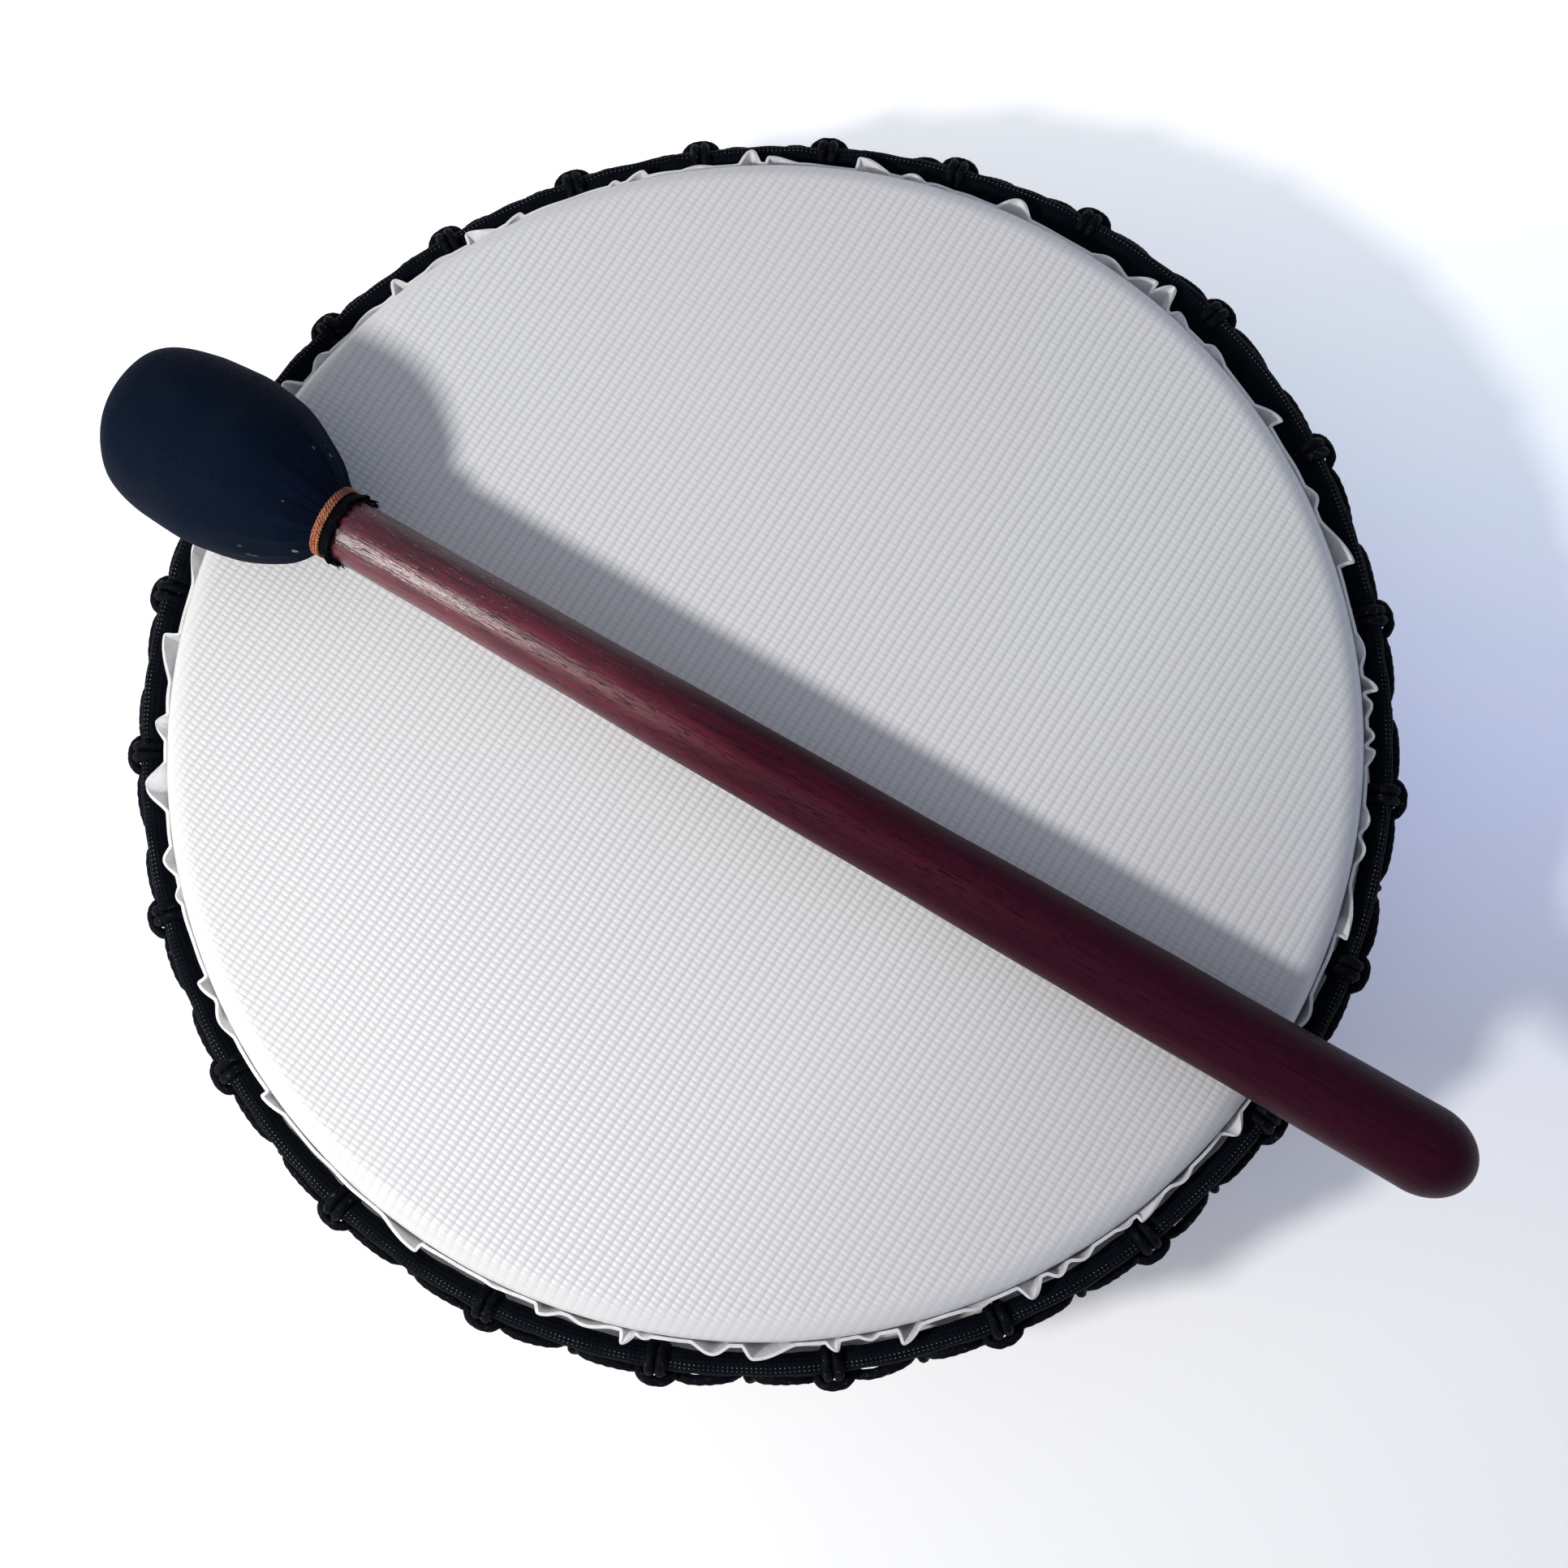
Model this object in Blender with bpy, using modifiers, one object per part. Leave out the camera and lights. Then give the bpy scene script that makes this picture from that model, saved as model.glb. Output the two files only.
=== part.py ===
"""Shaman drum: a one-headed frame drum with rope tuning, and its beater.

Metres, +Z up. The origin is on the drum's axis, on the surface that its back
edge rests on. +X and +Y point to the right and to the top of the head.
"""
import math

import bmesh
import bpy
import numpy as np
from mathutils import Matrix, Vector

# Clearances
GAP = 0.0003
ROPE_GAP = 0.0005

# Wooden hoop
HOOP_RADIUS = 0.150
HOOP_WALL = 0.009
DRUM_HEIGHT = 0.075
BEARING_ROUND = 0.006
INNER_CHAMFER = 0.002
BACK_CHAMFER = 0.001
STEPS = 54

# Skin
SKIN = 0.0006
RUFFLE_START = 0.0020
RUFFLE_RISE = 0.0098
RUFFLE_BEND = 0.62
RUFFLE_WAVES = 37
RUFFLE_SPREAD = 0.0055
RUFFLE_PRESSED = 0.0002
RUFFLE_SPLIT = 3
PRESSED_SIDE = math.radians(3.2)
PRESSED_FADE = math.radians(1.6)

# Rings, by the radius of their round sections. Hand tying has drawn the crown ring
# a little out of round: two stretches of it, by place and reach, stand out
FLESH_ROD = 0.0020
CROWN_ROD = 0.0013
CROWN_DROP = 0.0125
CROWN_BULGES = ((math.radians(47.0), 0.0034), (math.radians(155.0), 0.0019))
BULGE_SIDE = math.radians(45.0)

# Padded cloth round the crown ring: its least radius, under the rope, and its reach between
CLOTH_PINCHED = 0.0022
PAD_OUTWARD = 0.0024
PAD_HALF_HEIGHT = 0.0031
PAD_CLEARANCE = 0.0021
PINCH_SIDE = 0.0034
PAD_SIDE = 0.0068
CLOTH_CORNERS = 6
CLOTH_SEAM = math.radians(24.0)

# Cradle rope, hitched round the crown ring. The spacing drifts in waves: as many round
# the drum, so many degrees, and a lead in degrees
HITCHES = 24
HITCH_START = math.radians(81.5)
HITCH_DRIFT = ((1, 4.3, 17.5), (2, 2.1, 37.0), (3, 0.8, -21.0))
CRADLE_ROPE = 0.0012
LOOP_DROP = 0.0094
LOOP_STAND_OFF = 0.0040
HITCH_REACH = 0.0056

# Lacing rope and the ring that it draws to the middle of the back
LACING_ROPE = 0.0011
HOOK_TUCK = 0.0010
HOOK_SLANT = 0.0007
LACING_REACH = 0.0075
GRIP_RADIUS = 0.034
GRIP_ROD = 0.0040
GRIP_STEPS = 24
FLOOR_CLEARANCE = 0.0006

# Beater, along its own axis from the neck of its head
STICK_NECK = 0.0073
STICK_BARE = 0.0077
STICK_END = 0.0112
STICK_LENGTH = 0.310
STICK_BLUNT = 0.0095
STICK_SHOULDER = 0.007
STICK_IN_HEAD = 0.050
STICK_TIP_CHAMFER = 0.002
HEAD_LENGTH = 0.0645
HEAD_WIDEST = 0.0322
HEAD_RADIUS = 0.0220
COVER = 0.0008
HEM_LENGTH = 0.0042
HEM_FLARE = 0.0011
GATHERS = 11
GATHER_DEPTH = 0.0009
GATHER_SHARE = 0.55
PADDING_EASE = 0.0008
PADDING_STEPS = 20
STICK_STEPS = 14
BINDING_CORD = 0.00065
BINDING_TURNS = 3
BINDING_STEPS = 12
BINDING_START = 0.0015
BINDING_REACH = 0.006

# Where the beater lies across the rim
REST_IN = 0.0032
HEAD_SIDE = math.radians(154.9)
STICK_SIDE = math.radians(-34.0)
NECK_INSIDE = 0.035

# Sizes that follow from those above
HOOP_TOP = DRUM_HEIGHT - SKIN - GAP
HOOP_INNER = HOOP_RADIUS - HOOP_WALL
SKIRT = HOOP_RADIUS + GAP + SKIN / 2
ROUND_CENTRE = (HOOP_RADIUS - BEARING_ROUND, HOOP_TOP - BEARING_ROUND)
FLESH_RADIUS = SKIRT + SKIN / 2 + GAP + FLESH_ROD
BUNDLE = FLESH_ROD + GAP + SKIN
RUFFLE_LINE = SKIRT + SKIN + GAP
RUFFLE_OUTSIDE = RUFFLE_LINE + SKIN / 2 + RUFFLE_PRESSED
TURN = CLOTH_PINCHED + GAP + CRADLE_ROPE
CROWN_LEAST = RUFFLE_OUTSIDE + GAP + CRADLE_ROPE + TURN
CROWN_HEIGHT = DRUM_HEIGHT - CROWN_DROP
PAD_INSIDE = RUFFLE_OUTSIDE + PAD_CLEARANCE
TURN_CORNER = TURN / math.cos(math.radians(30.0))
SEAT = TURN_CORNER + CRADLE_ROPE + GAP + BUNDLE
FLESH_HEIGHT = CROWN_HEIGHT - math.sqrt(SEAT ** 2 - (CROWN_LEAST - FLESH_RADIUS) ** 2)
LOOP_HEIGHT = CROWN_HEIGHT - LOOP_DROP
NOTCH_LINE = FLOOR_CLEARANCE + LACING_ROPE
NOTCH_HEIGHT = NOTCH_LINE + LACING_ROPE + GAP
STRAND_SIDE = LACING_ROPE + ROPE_GAP / 2
NOTCH_HALF_WIDTH = STRAND_SIDE + LACING_ROPE + GAP
GRIP_TURN = (GRIP_ROD + GAP + LACING_ROPE) / math.cos(math.radians(30.0))
GRIP_HEIGHT = NOTCH_LINE + GRIP_TURN
BINDING_PITCH = BINDING_CORD * 2 + ROPE_GAP
BINDING_END = BINDING_START + BINDING_PITCH * BINDING_TURNS + BINDING_CORD + GAP


def start_collections():
    for old in list(bpy.data.objects):
        bpy.data.objects.remove(old, do_unlink=True)
    made = []
    for name in ("shaman_drum", "cutters"):
        collection = bpy.data.collections.new(name)
        bpy.context.scene.collection.children.link(collection)
        made.append(collection)
    return made


PARTS, CUTTERS = start_collections()


def finish(name, colour, roughness, metallic=0.0):
    made = bpy.data.materials.new(name)
    made.use_nodes = True
    shader = made.node_tree.nodes["Principled BSDF"]
    shader.inputs["Base Color"].default_value = (*colour, 1.0)
    shader.inputs["Roughness"].default_value = roughness
    shader.inputs["Metallic"].default_value = metallic
    return made


def add_mesh(name, mesh, material, collection=None):
    made = bpy.data.objects.new(name, mesh)
    made.data.materials.append(material)
    (collection or PARTS).objects.link(made)
    return made


def smooth(mesh, angle=50.0):
    mesh.shade_smooth()
    mesh.set_sharp_from_angle(angle=math.radians(angle))


def turned(name, profile, material, steps=STEPS, closed=True):
    """Turn a profile of (radius, height) points round the Z axis."""
    count = len(profile)
    edges = [(i, i + 1) for i in range(count - 1)]
    if closed:
        edges.append((count - 1, 0))
    mesh = bpy.data.meshes.new(name)
    mesh.from_pydata([(r, 0.0, z) for r, z in profile], edges, [])
    made = add_mesh(name, mesh, material)
    screw = made.modifiers.new("turn", "SCREW")
    screw.axis = "Z"
    screw.steps = steps
    screw.render_steps = steps
    screw.use_merge_vertices = True
    screw.merge_threshold = 0.00001
    screw.use_normal_calculate = False
    screw.use_smooth_shade = True
    return made


def arc(centre, radius, first, last, count):
    """Points on a round stretch of a profile, angles in degrees."""
    angles = [math.radians(first + (last - first) * i / (count - 1)) for i in range(count)]
    return [(centre[0] + radius * math.cos(a), centre[1] + radius * math.sin(a)) for a in angles]


def at(angle, side, radius, height):
    """Point at a radius along an angle, and then sideways, clockwise from above."""
    along = Vector((math.cos(angle), math.sin(angle), 0.0))
    across = Vector((math.sin(angle), -math.cos(angle), 0.0))
    return along * radius + across * side + Vector((0.0, 0.0, height))


def round_section(centre, radius, sides):
    """Closed round profile, run down its outer side."""
    return arc(centre, radius, 90.0, 360.0 / sides - 270.0, sides)


def hitch_angle(index):
    """Angle of a hitch about the drum's axis: hand tied, so the spacing drifts."""
    turn = index * math.tau / HITCHES
    drift = sum(size * math.sin(waves * turn + math.radians(lead)) for waves, size, lead in HITCH_DRIFT)
    return HITCH_START - turn + math.radians(drift)


HITCH_ANGLES = [hitch_angle(i) for i in range(HITCHES)]


def loop_angle(index):
    """Angle half way between a hitch and the next one."""
    return (hitch_angle(index) + hitch_angle(index + 1)) / 2


def crown_radius(angle):
    """Radius of the crown ring's own line at an angle about the drum's axis."""
    radius = CROWN_LEAST
    for place, reach in CROWN_BULGES:
        away = min(BULGE_SIDE, abs(math.remainder(angle - place, math.tau)))
        radius += reach * (1 + math.cos(math.pi * away / BULGE_SIDE)) / 2
    return radius


def loop_point(index, side=0.0, outward=0.0, up=0.0):
    """Point at the middle of the strand between a hitch and the next one, or beside it."""
    angle = loop_angle(index)
    radius = crown_radius(angle) + LOOP_STAND_OFF
    return at(angle, side, radius + outward, LOOP_HEIGHT + up)


def bridge(build, first, last):
    """Faces between two closed rows of as many points."""
    for i in range(len(first)):
        following = (i + 1) % len(first)
        build.faces.new((first[i], last[i], last[following], first[following]))


def thicken(piece, thickness):
    """Give an open sheet its thickness, half to each side."""
    sheet = piece.modifiers.new("sheet", "SOLIDIFY")
    sheet.thickness = thickness
    sheet.offset = 0.0
    sheet.use_even_offset = True
    return piece


def least_gap(points, radius, reach):
    """Least gap of a tube to itself, between samples further apart along it than reach."""
    samples = []
    along = []
    total = 0.0
    for first, last in zip(points[:-1], points[1:]):
        length = (last - first).length
        pieces = max(1, math.ceil(length / 0.0008))
        for i in range(pieces):
            samples.append(first.lerp(last, i / pieces))
            along.append(total + length * i / pieces)
        total += length
    places = np.array([tuple(p) for p in samples])
    run = np.array(along)
    least = 1.0
    for i in range(len(places)):
        far = np.abs(run - run[i]) > reach
        near = np.linalg.norm(places[far] - places[i], axis=1).min()
        least = min(least, float(near))
    return least - 2 * radius, total


def tube(name, points, radius, material, closed=False):
    """Round tube along a list of points, with filled ends unless it is closed."""
    curve = bpy.data.curves.new(name, "CURVE")
    curve.dimensions = "3D"
    curve.bevel_depth = radius
    curve.bevel_resolution = 1
    curve.use_fill_caps = True
    curve.twist_mode = "MINIMUM"
    spline = curve.splines.new("POLY")
    spline.points.add(len(points) - 1)
    for point, place in zip(spline.points, points):
        point.co = (*place, 1.0)
    spline.use_cyclic_u = closed
    made = bpy.data.objects.new(name, curve)
    curve.materials.append(material)
    PARTS.objects.link(made)
    return made


def rope(name, points, radius, material, reach):
    """One unbroken tube whose length and least gap to itself are printed."""
    gap, length = least_gap(points, radius, reach)
    print(f"{name}: {length:.3f} m long, least gap to itself {gap * 1000:.2f} mm")
    return tube(name, points, radius, material)


def make_hoop(wood):
    """Bent wooden hoop: round bearing edge, and notches in the back edge for the lacing."""
    profile = [(HOOP_INNER, HOOP_TOP - INNER_CHAMFER), (HOOP_INNER + INNER_CHAMFER, HOOP_TOP)]
    profile += arc(ROUND_CENTRE, BEARING_ROUND, 90.0, 0.0, 4)
    profile += [
        (HOOP_RADIUS, BACK_CHAMFER),
        (HOOP_RADIUS - BACK_CHAMFER, 0.0),
        (HOOP_INNER + BACK_CHAMFER, 0.0),
        (HOOP_INNER, BACK_CHAMFER),
    ]
    hoop = turned("frame_hoop", profile, wood)
    cutting = bmesh.new()
    for angle in HITCH_ANGLES:
        place = Matrix.Translation(at(angle, 0.0, HOOP_RADIUS - HOOP_WALL / 2, 0.0))
        turn = Matrix.Rotation(angle, 4, "Z")
        size = Matrix.Diagonal((HOOP_WALL * 2, NOTCH_HALF_WIDTH * 2, NOTCH_HEIGHT * 2, 1.0))
        bmesh.ops.create_cube(cutting, size=1.0, matrix=place @ turn @ size)
    mesh = bpy.data.meshes.new("notches")
    cutting.to_mesh(mesh)
    cutting.free()
    cutter = add_mesh("notches", mesh, wood, CUTTERS)
    cutter.hide_render = True
    cutter.display_type = "WIRE"
    cut = hoop.modifiers.new("notches", "BOOLEAN")
    cut.operation = "DIFFERENCE"
    cut.solver = "EXACT"
    cut.object = cutter


def free_share(angle):
    """0 beside a hitch, where the trimmed edge is pressed flat, to 1 between hitches."""
    nearest = min(abs(math.remainder(angle - hitch, math.tau)) for hitch in HITCH_ANGLES)
    share = max(0.0, min(1.0, (nearest - PRESSED_SIDE) / PRESSED_FADE))
    return share * share * (3 - 2 * share)


def ruffle(angle):
    """Outward swing of the skin's trimmed edge, from 0 to 1."""
    wave = math.sin(RUFFLE_WAVES * angle + 1.3 * math.sin(5 * angle + 0.4))
    depth = 0.55 + 0.45 * math.sin(7 * angle + 2.0) * math.cos(3 * angle)
    return (0.5 + 0.5 * wave) * depth


def make_drumhead(skin):
    """One sheet: face, edge, skirt, the fold round the flesh ring and the trimmed edge."""
    bend = BEARING_ROUND + GAP + SKIN / 2
    fold = FLESH_ROD + GAP + SKIN / 2
    flesh = (FLESH_RADIUS, FLESH_HEIGHT)
    inside = math.degrees(math.acos((RUFFLE_LINE - FLESH_RADIUS) / fold))
    base = FLESH_HEIGHT + fold + RUFFLE_START
    profile = arc(ROUND_CENTRE, bend, 90.0, 0.0, 4)
    profile += arc(flesh, fold, 180.0, 360.0 + inside, 7)
    profile.append((RUFFLE_LINE, base))
    build = bmesh.new()
    rings = []
    for radius, height in profile:
        ring = [build.verts.new(at(-i * math.tau / STEPS, 0.0, radius, height)) for i in range(STEPS)]
        rings.append(ring)
    centre = build.verts.new((0.0, 0.0, HOOP_TOP + GAP + SKIN / 2))
    for i in range(STEPS):
        build.faces.new((centre, rings[0][i], rings[0][(i + 1) % STEPS]))
    for upper, lower in zip(rings[:-1], rings[1:]):
        bridge(build, upper, lower)
    fine = STEPS * RUFFLE_SPLIT
    waved = []
    for share in (RUFFLE_BEND, 1.0):
        ring = []
        for i in range(fine):
            angle = -i * math.tau / fine
            free = RUFFLE_SPREAD * share ** 3
            swing = RUFFLE_PRESSED + (free - RUFFLE_PRESSED) * free_share(angle)
            radius = RUFFLE_LINE + swing * ruffle(angle)
            ring.append(build.verts.new(at(angle, 0.0, radius, base + RUFFLE_RISE * share)))
        waved.append(ring)
    for i in range(STEPS):
        following = (i + 1) % STEPS
        first = i * RUFFLE_SPLIT
        fan = [waved[0][(first + step) % fine] for step in range(RUFFLE_SPLIT + 1)]
        middle = RUFFLE_SPLIT // 2
        for step in range(RUFFLE_SPLIT):
            below = rings[-1][i] if step <= middle else rings[-1][following]
            build.faces.new((below, fan[step], fan[step + 1]))
        build.faces.new((rings[-1][i], fan[middle + 1], rings[-1][following]))
    bridge(build, waved[0], waved[1])
    bmesh.ops.recalc_face_normals(build, faces=build.faces)
    mesh = bpy.data.meshes.new("drumhead")
    build.to_mesh(mesh)
    build.free()
    smooth(mesh, 60.0)
    thicken(add_mesh("drumhead", mesh, skin), SKIN)


def make_rings(steel):
    turned("flesh_ring", round_section((FLESH_RADIUS, FLESH_HEIGHT), FLESH_ROD, 5), steel)
    turned("grip_ring", round_section((GRIP_RADIUS, GRIP_HEIGHT), GRIP_ROD, 8), steel, GRIP_STEPS)
    points = []
    for angle in HITCH_ANGLES:
        for side in (-PAD_SIDE, PAD_SIDE):
            turn = angle - side / CROWN_LEAST
            points.append(at(turn, 0.0, crown_radius(turn), CROWN_HEIGHT))
    tube("crown_ring", points, CROWN_ROD, steel, closed=True)


def wrap_section(angle, padded):
    """Cross-section of the cloth round the crown ring, open along a seam at its lower inner side."""
    ring = crown_radius(angle)
    step = (math.tau - CLOTH_SEAM) / (CLOTH_CORNERS - 1)
    turns = [math.radians(225.0) - CLOTH_SEAM / 2 - step * i for i in range(CLOTH_CORNERS)]
    bore = (CROWN_ROD + GAP) / math.cos(step / 2)
    points = []
    for turn in turns:
        across = CLOTH_PINCHED
        rise = CLOTH_PINCHED
        if padded:
            across = PAD_OUTWARD if math.cos(turn) > 0 else ring - PAD_INSIDE
            rise = PAD_HALF_HEIGHT
        points.append(at(angle, 0.0, ring + across * math.cos(turn), CROWN_HEIGHT + rise * math.sin(turn)))
    for turn in reversed(turns):
        points.append(at(angle, 0.0, ring + bore * math.cos(turn), CROWN_HEIGHT + bore * math.sin(turn)))
    return points


def make_crown_wrap(cloth):
    """Padded cloth that swells between the hitches and is pinched under each of them."""
    build = bmesh.new()
    rings = []
    for angle in HITCH_ANGLES:
        for side in (-PAD_SIDE, -PINCH_SIDE, PINCH_SIDE, PAD_SIDE):
            section = wrap_section(angle - side / CROWN_LEAST, abs(side) == PAD_SIDE)
            rings.append([build.verts.new(point) for point in section])
    for i, ring in enumerate(rings):
        bridge(build, ring, rings[(i + 1) % len(rings)])
    bmesh.ops.recalc_face_normals(build, faces=build.faces)
    mesh = bpy.data.meshes.new("crown_wrap")
    build.to_mesh(mesh)
    build.free()
    smooth(mesh, 60.0)
    add_mesh("crown_wrap", mesh, cloth)


def hitch_points(index):
    """Cow hitch round the crown ring, from the loop before it to the loop after it.

    Its points are chosen by hand, sideways, outward and up from the ring's own line. The rope
    comes up in front of the ring, passes over it and down behind, crosses below to one side,
    and makes a bridge in front of its own two ends. The second half mirrors the first.
    """
    angle = HITCH_ANGLES[index]
    ring = crown_radius(angle)
    strand = CRADLE_ROPE + ROPE_GAP / 2
    layer = strand * 2
    corners = [math.radians(a) for a in (30.0, 90.0, 150.0, 210.0)]
    half = [(-strand * 1.3, TURN + 0.0002, -TURN - layer - 0.0008)]
    half += [(-strand, TURN_CORNER * math.cos(a), TURN_CORNER * math.sin(a)) for a in corners]
    half += [
        (-strand * 3.2, 0.0015, -TURN - 0.0014),
        (-strand * 3.55, TURN + 0.0012, -TURN - 0.0005),
        (-strand * 2.0, TURN + layer + 0.00015, -TURN - 0.0007),
    ]
    whole = half + [(-side, out, up) for side, out, up in reversed(half)]
    return [at(angle, side, ring + out, CROWN_HEIGHT + up) for side, out, up in whole]


def make_cradle(cord):
    """The rope that makes a hitch and a loop, all round the crown ring."""
    points = [loop_point(HITCHES - 1, side=CRADLE_ROPE)]
    for index in range(HITCHES):
        points += hitch_points(index)
        points.append(loop_point(index, side=-CRADLE_ROPE if index == HITCHES - 1 else 0.0))
    rope("cradle_rope", points, CRADLE_ROPE, cord, HITCH_REACH)


def make_lacing(cord):
    """The rope from loop to loop, over the back edge and round the grip ring."""
    outside = HOOP_RADIUS + ROPE_GAP + LACING_ROPE
    inside = HOOP_INNER - ROPE_GAP - LACING_ROPE
    over = CRADLE_ROPE + LACING_ROPE + GAP + ROPE_GAP
    hook = ((over, -HOOK_TUCK), (over * 0.65, over), (-over * 0.65, over), (-over, -HOOK_TUCK))

    def strand(angle, side):
        return at(angle, side, inside, NOTCH_LINE), at(angle, side, outside, NOTCH_LINE)

    def round_grip(angle, side, degrees):
        turn = math.radians(degrees)
        radius = GRIP_RADIUS + GRIP_TURN * math.cos(turn)
        return at(angle, side, radius, GRIP_HEIGHT + GRIP_TURN * math.sin(turn))

    angle = HITCH_ANGLES[0]
    points = [round_grip(angle, STRAND_SIDE, 90.0), *strand(angle, STRAND_SIDE)]
    for index in range(HITCHES):
        for step, (outward, up) in enumerate(hook):
            points.append(loop_point(index, (step - 1.5) * HOOK_SLANT, outward, up))
        angle = HITCH_ANGLES[(index + 1) % HITCHES]
        points.append(strand(angle, -STRAND_SIDE)[1])
        turns = ((-1.0, 270.0), (-1.0, 210.0), (1.0, 150.0), (1.0, 90.0))
        if index == HITCHES - 1:
            turns = turns[:2]
        points += [round_grip(angle, STRAND_SIDE * share, degrees) for share, degrees in turns]
        if index < HITCHES - 1:
            points += strand(angle, STRAND_SIDE)
    rope("lacing_rope", points, LACING_ROPE, cord, LACING_REACH)


def head_radius(along):
    """Outer radius of the beater's head at a distance from its neck towards its tip."""
    neck = STICK_NECK + GAP + COVER
    if along < HEAD_WIDEST:
        rise = math.sin(along / HEAD_WIDEST * math.pi / 2) ** 0.7
        return neck + (HEAD_RADIUS - neck) * rise
    share = (along - HEAD_WIDEST) / (HEAD_LENGTH - HEAD_WIDEST)
    return HEAD_RADIUS * math.sqrt(max(0.0, 1 - share ** 3.6))


def beater_frame():
    """The beater's axes: Z runs from its neck to the stick's end. It rests on two sides of the rim."""
    rim = HOOP_RADIUS - REST_IN
    first = Vector((math.cos(HEAD_SIDE), math.sin(HEAD_SIDE), 0.0)) * rim
    last = Vector((math.cos(STICK_SIDE), math.sin(STICK_SIDE), 0.0)) * rim
    first.z = DRUM_HEIGHT + GAP + HEAD_RADIUS
    last.z = DRUM_HEIGHT + GAP + stick_radius((last - first).length - NECK_INSIDE)
    axis = (last - first).normalized()
    pose = axis.to_track_quat("Z", "Y").to_matrix().to_4x4()
    return Matrix.Translation(first + axis * NECK_INSIDE) @ pose


def stick_radius(along):
    """Radius of the bare stick, which swells towards its end."""
    share = max(0.0, along / STICK_LENGTH)
    return STICK_BARE + (STICK_END - STICK_BARE) * share ** 1.2


def make_stick(wood):
    """The stick: bare to its blunt end, and turned down where the head is tied on."""
    profile = [(0.0, STICK_LENGTH)]
    for degrees in (25.0, 50.0, 75.0):
        turn = math.radians(degrees)
        place = STICK_LENGTH - STICK_BLUNT * (1 - math.cos(turn))
        profile.append((STICK_END * math.sin(turn), place))
    places = [STICK_LENGTH * share for share in (0.87, 0.65, 0.43, 0.2)]
    places.append(BINDING_END + STICK_SHOULDER)
    profile += [(stick_radius(place), place) for place in places]
    tip = -STICK_IN_HEAD
    profile += [(STICK_NECK, BINDING_END), (STICK_NECK, tip + STICK_TIP_CHAMFER)]
    profile += [(STICK_NECK - STICK_TIP_CHAMFER, tip), (0.0, tip)]
    return turned("beater_stick", profile, wood, STICK_STEPS, closed=False)


def make_padding(felt):
    """The head's soft core, with a bore for the stick."""
    shares = (0.15, 0.3, 0.5, 0.7, 0.84, 0.93)
    inset = COVER + PADDING_EASE
    bore = STICK_NECK + GAP
    floor = -STICK_IN_HEAD - GAP
    length = HEAD_LENGTH - inset
    profile = [(bore, -length * shares[0])]
    profile += [(head_radius(HEAD_LENGTH * share) - inset, -length * share) for share in shares]
    profile += [(0.0, -length), (0.0, floor), (bore, floor)]
    return turned("beater_padding", profile, felt, PADDING_STEPS, closed=True)


def make_cover(cloth):
    """The cloth over the head: gathered at the neck, tied there, with a loose hem."""
    rows = [(-BINDING_END - HEM_LENGTH, HEM_FLARE, HEM_FLARE), (-BINDING_END, 0.0, 0.0), (0.0, 0.0, 0.0)]
    for share in (0.07, 0.16, 0.3, 0.48, 0.68, 0.84, 0.93):
        crease = GATHER_DEPTH * max(0.0, 1 - share / GATHER_SHARE)
        rows.append((HEAD_LENGTH * share, 0.0, crease))
    around = GATHERS * 2
    build = bmesh.new()
    rings = []
    for along, flare, crease in rows:
        radius = head_radius(max(along, 0.0)) - COVER / 2 + flare
        ring = []
        for i in range(around):
            reach = radius + crease * (i % 2)
            turn = i * math.tau / around
            ring.append(build.verts.new((reach * math.cos(turn), reach * math.sin(turn), -along)))
        rings.append(ring)
    for upper, lower in zip(rings[:-1], rings[1:]):
        bridge(build, upper, lower)
    tip = build.verts.new((0.0, 0.0, -HEAD_LENGTH + COVER / 2))
    for i in range(around):
        build.faces.new((rings[-1][i], rings[-1][(i + 1) % around], tip))
    bmesh.ops.recalc_face_normals(build, faces=build.faces)
    mesh = bpy.data.meshes.new("beater_cover")
    build.to_mesh(mesh)
    build.free()
    smooth(mesh, 60.0)
    return thicken(add_mesh("beater_cover", mesh, cloth), COVER)


def make_binding(cord):
    """The cord wound round the cover at the neck."""
    reach = (STICK_NECK + GAP + COVER + ROPE_GAP + BINDING_CORD) / math.cos(math.pi / BINDING_STEPS)
    points = []
    for i in range(BINDING_TURNS * BINDING_STEPS + 1):
        turn = i * math.tau / BINDING_STEPS
        along = BINDING_START + BINDING_PITCH * i / BINDING_STEPS
        points.append(Vector((reach * math.cos(turn), reach * math.sin(turn), along)))
    return rope("beater_binding", points, BINDING_CORD, cord, BINDING_REACH)


def make_beater(wood, felt, cloth, cord):
    anchor = bpy.data.objects.new("beater_axis", None)
    PARTS.objects.link(anchor)
    anchor.matrix_world = beater_frame()
    for piece in (make_stick(wood), make_padding(felt), make_cover(cloth), make_binding(cord)):
        piece.parent = anchor


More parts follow.
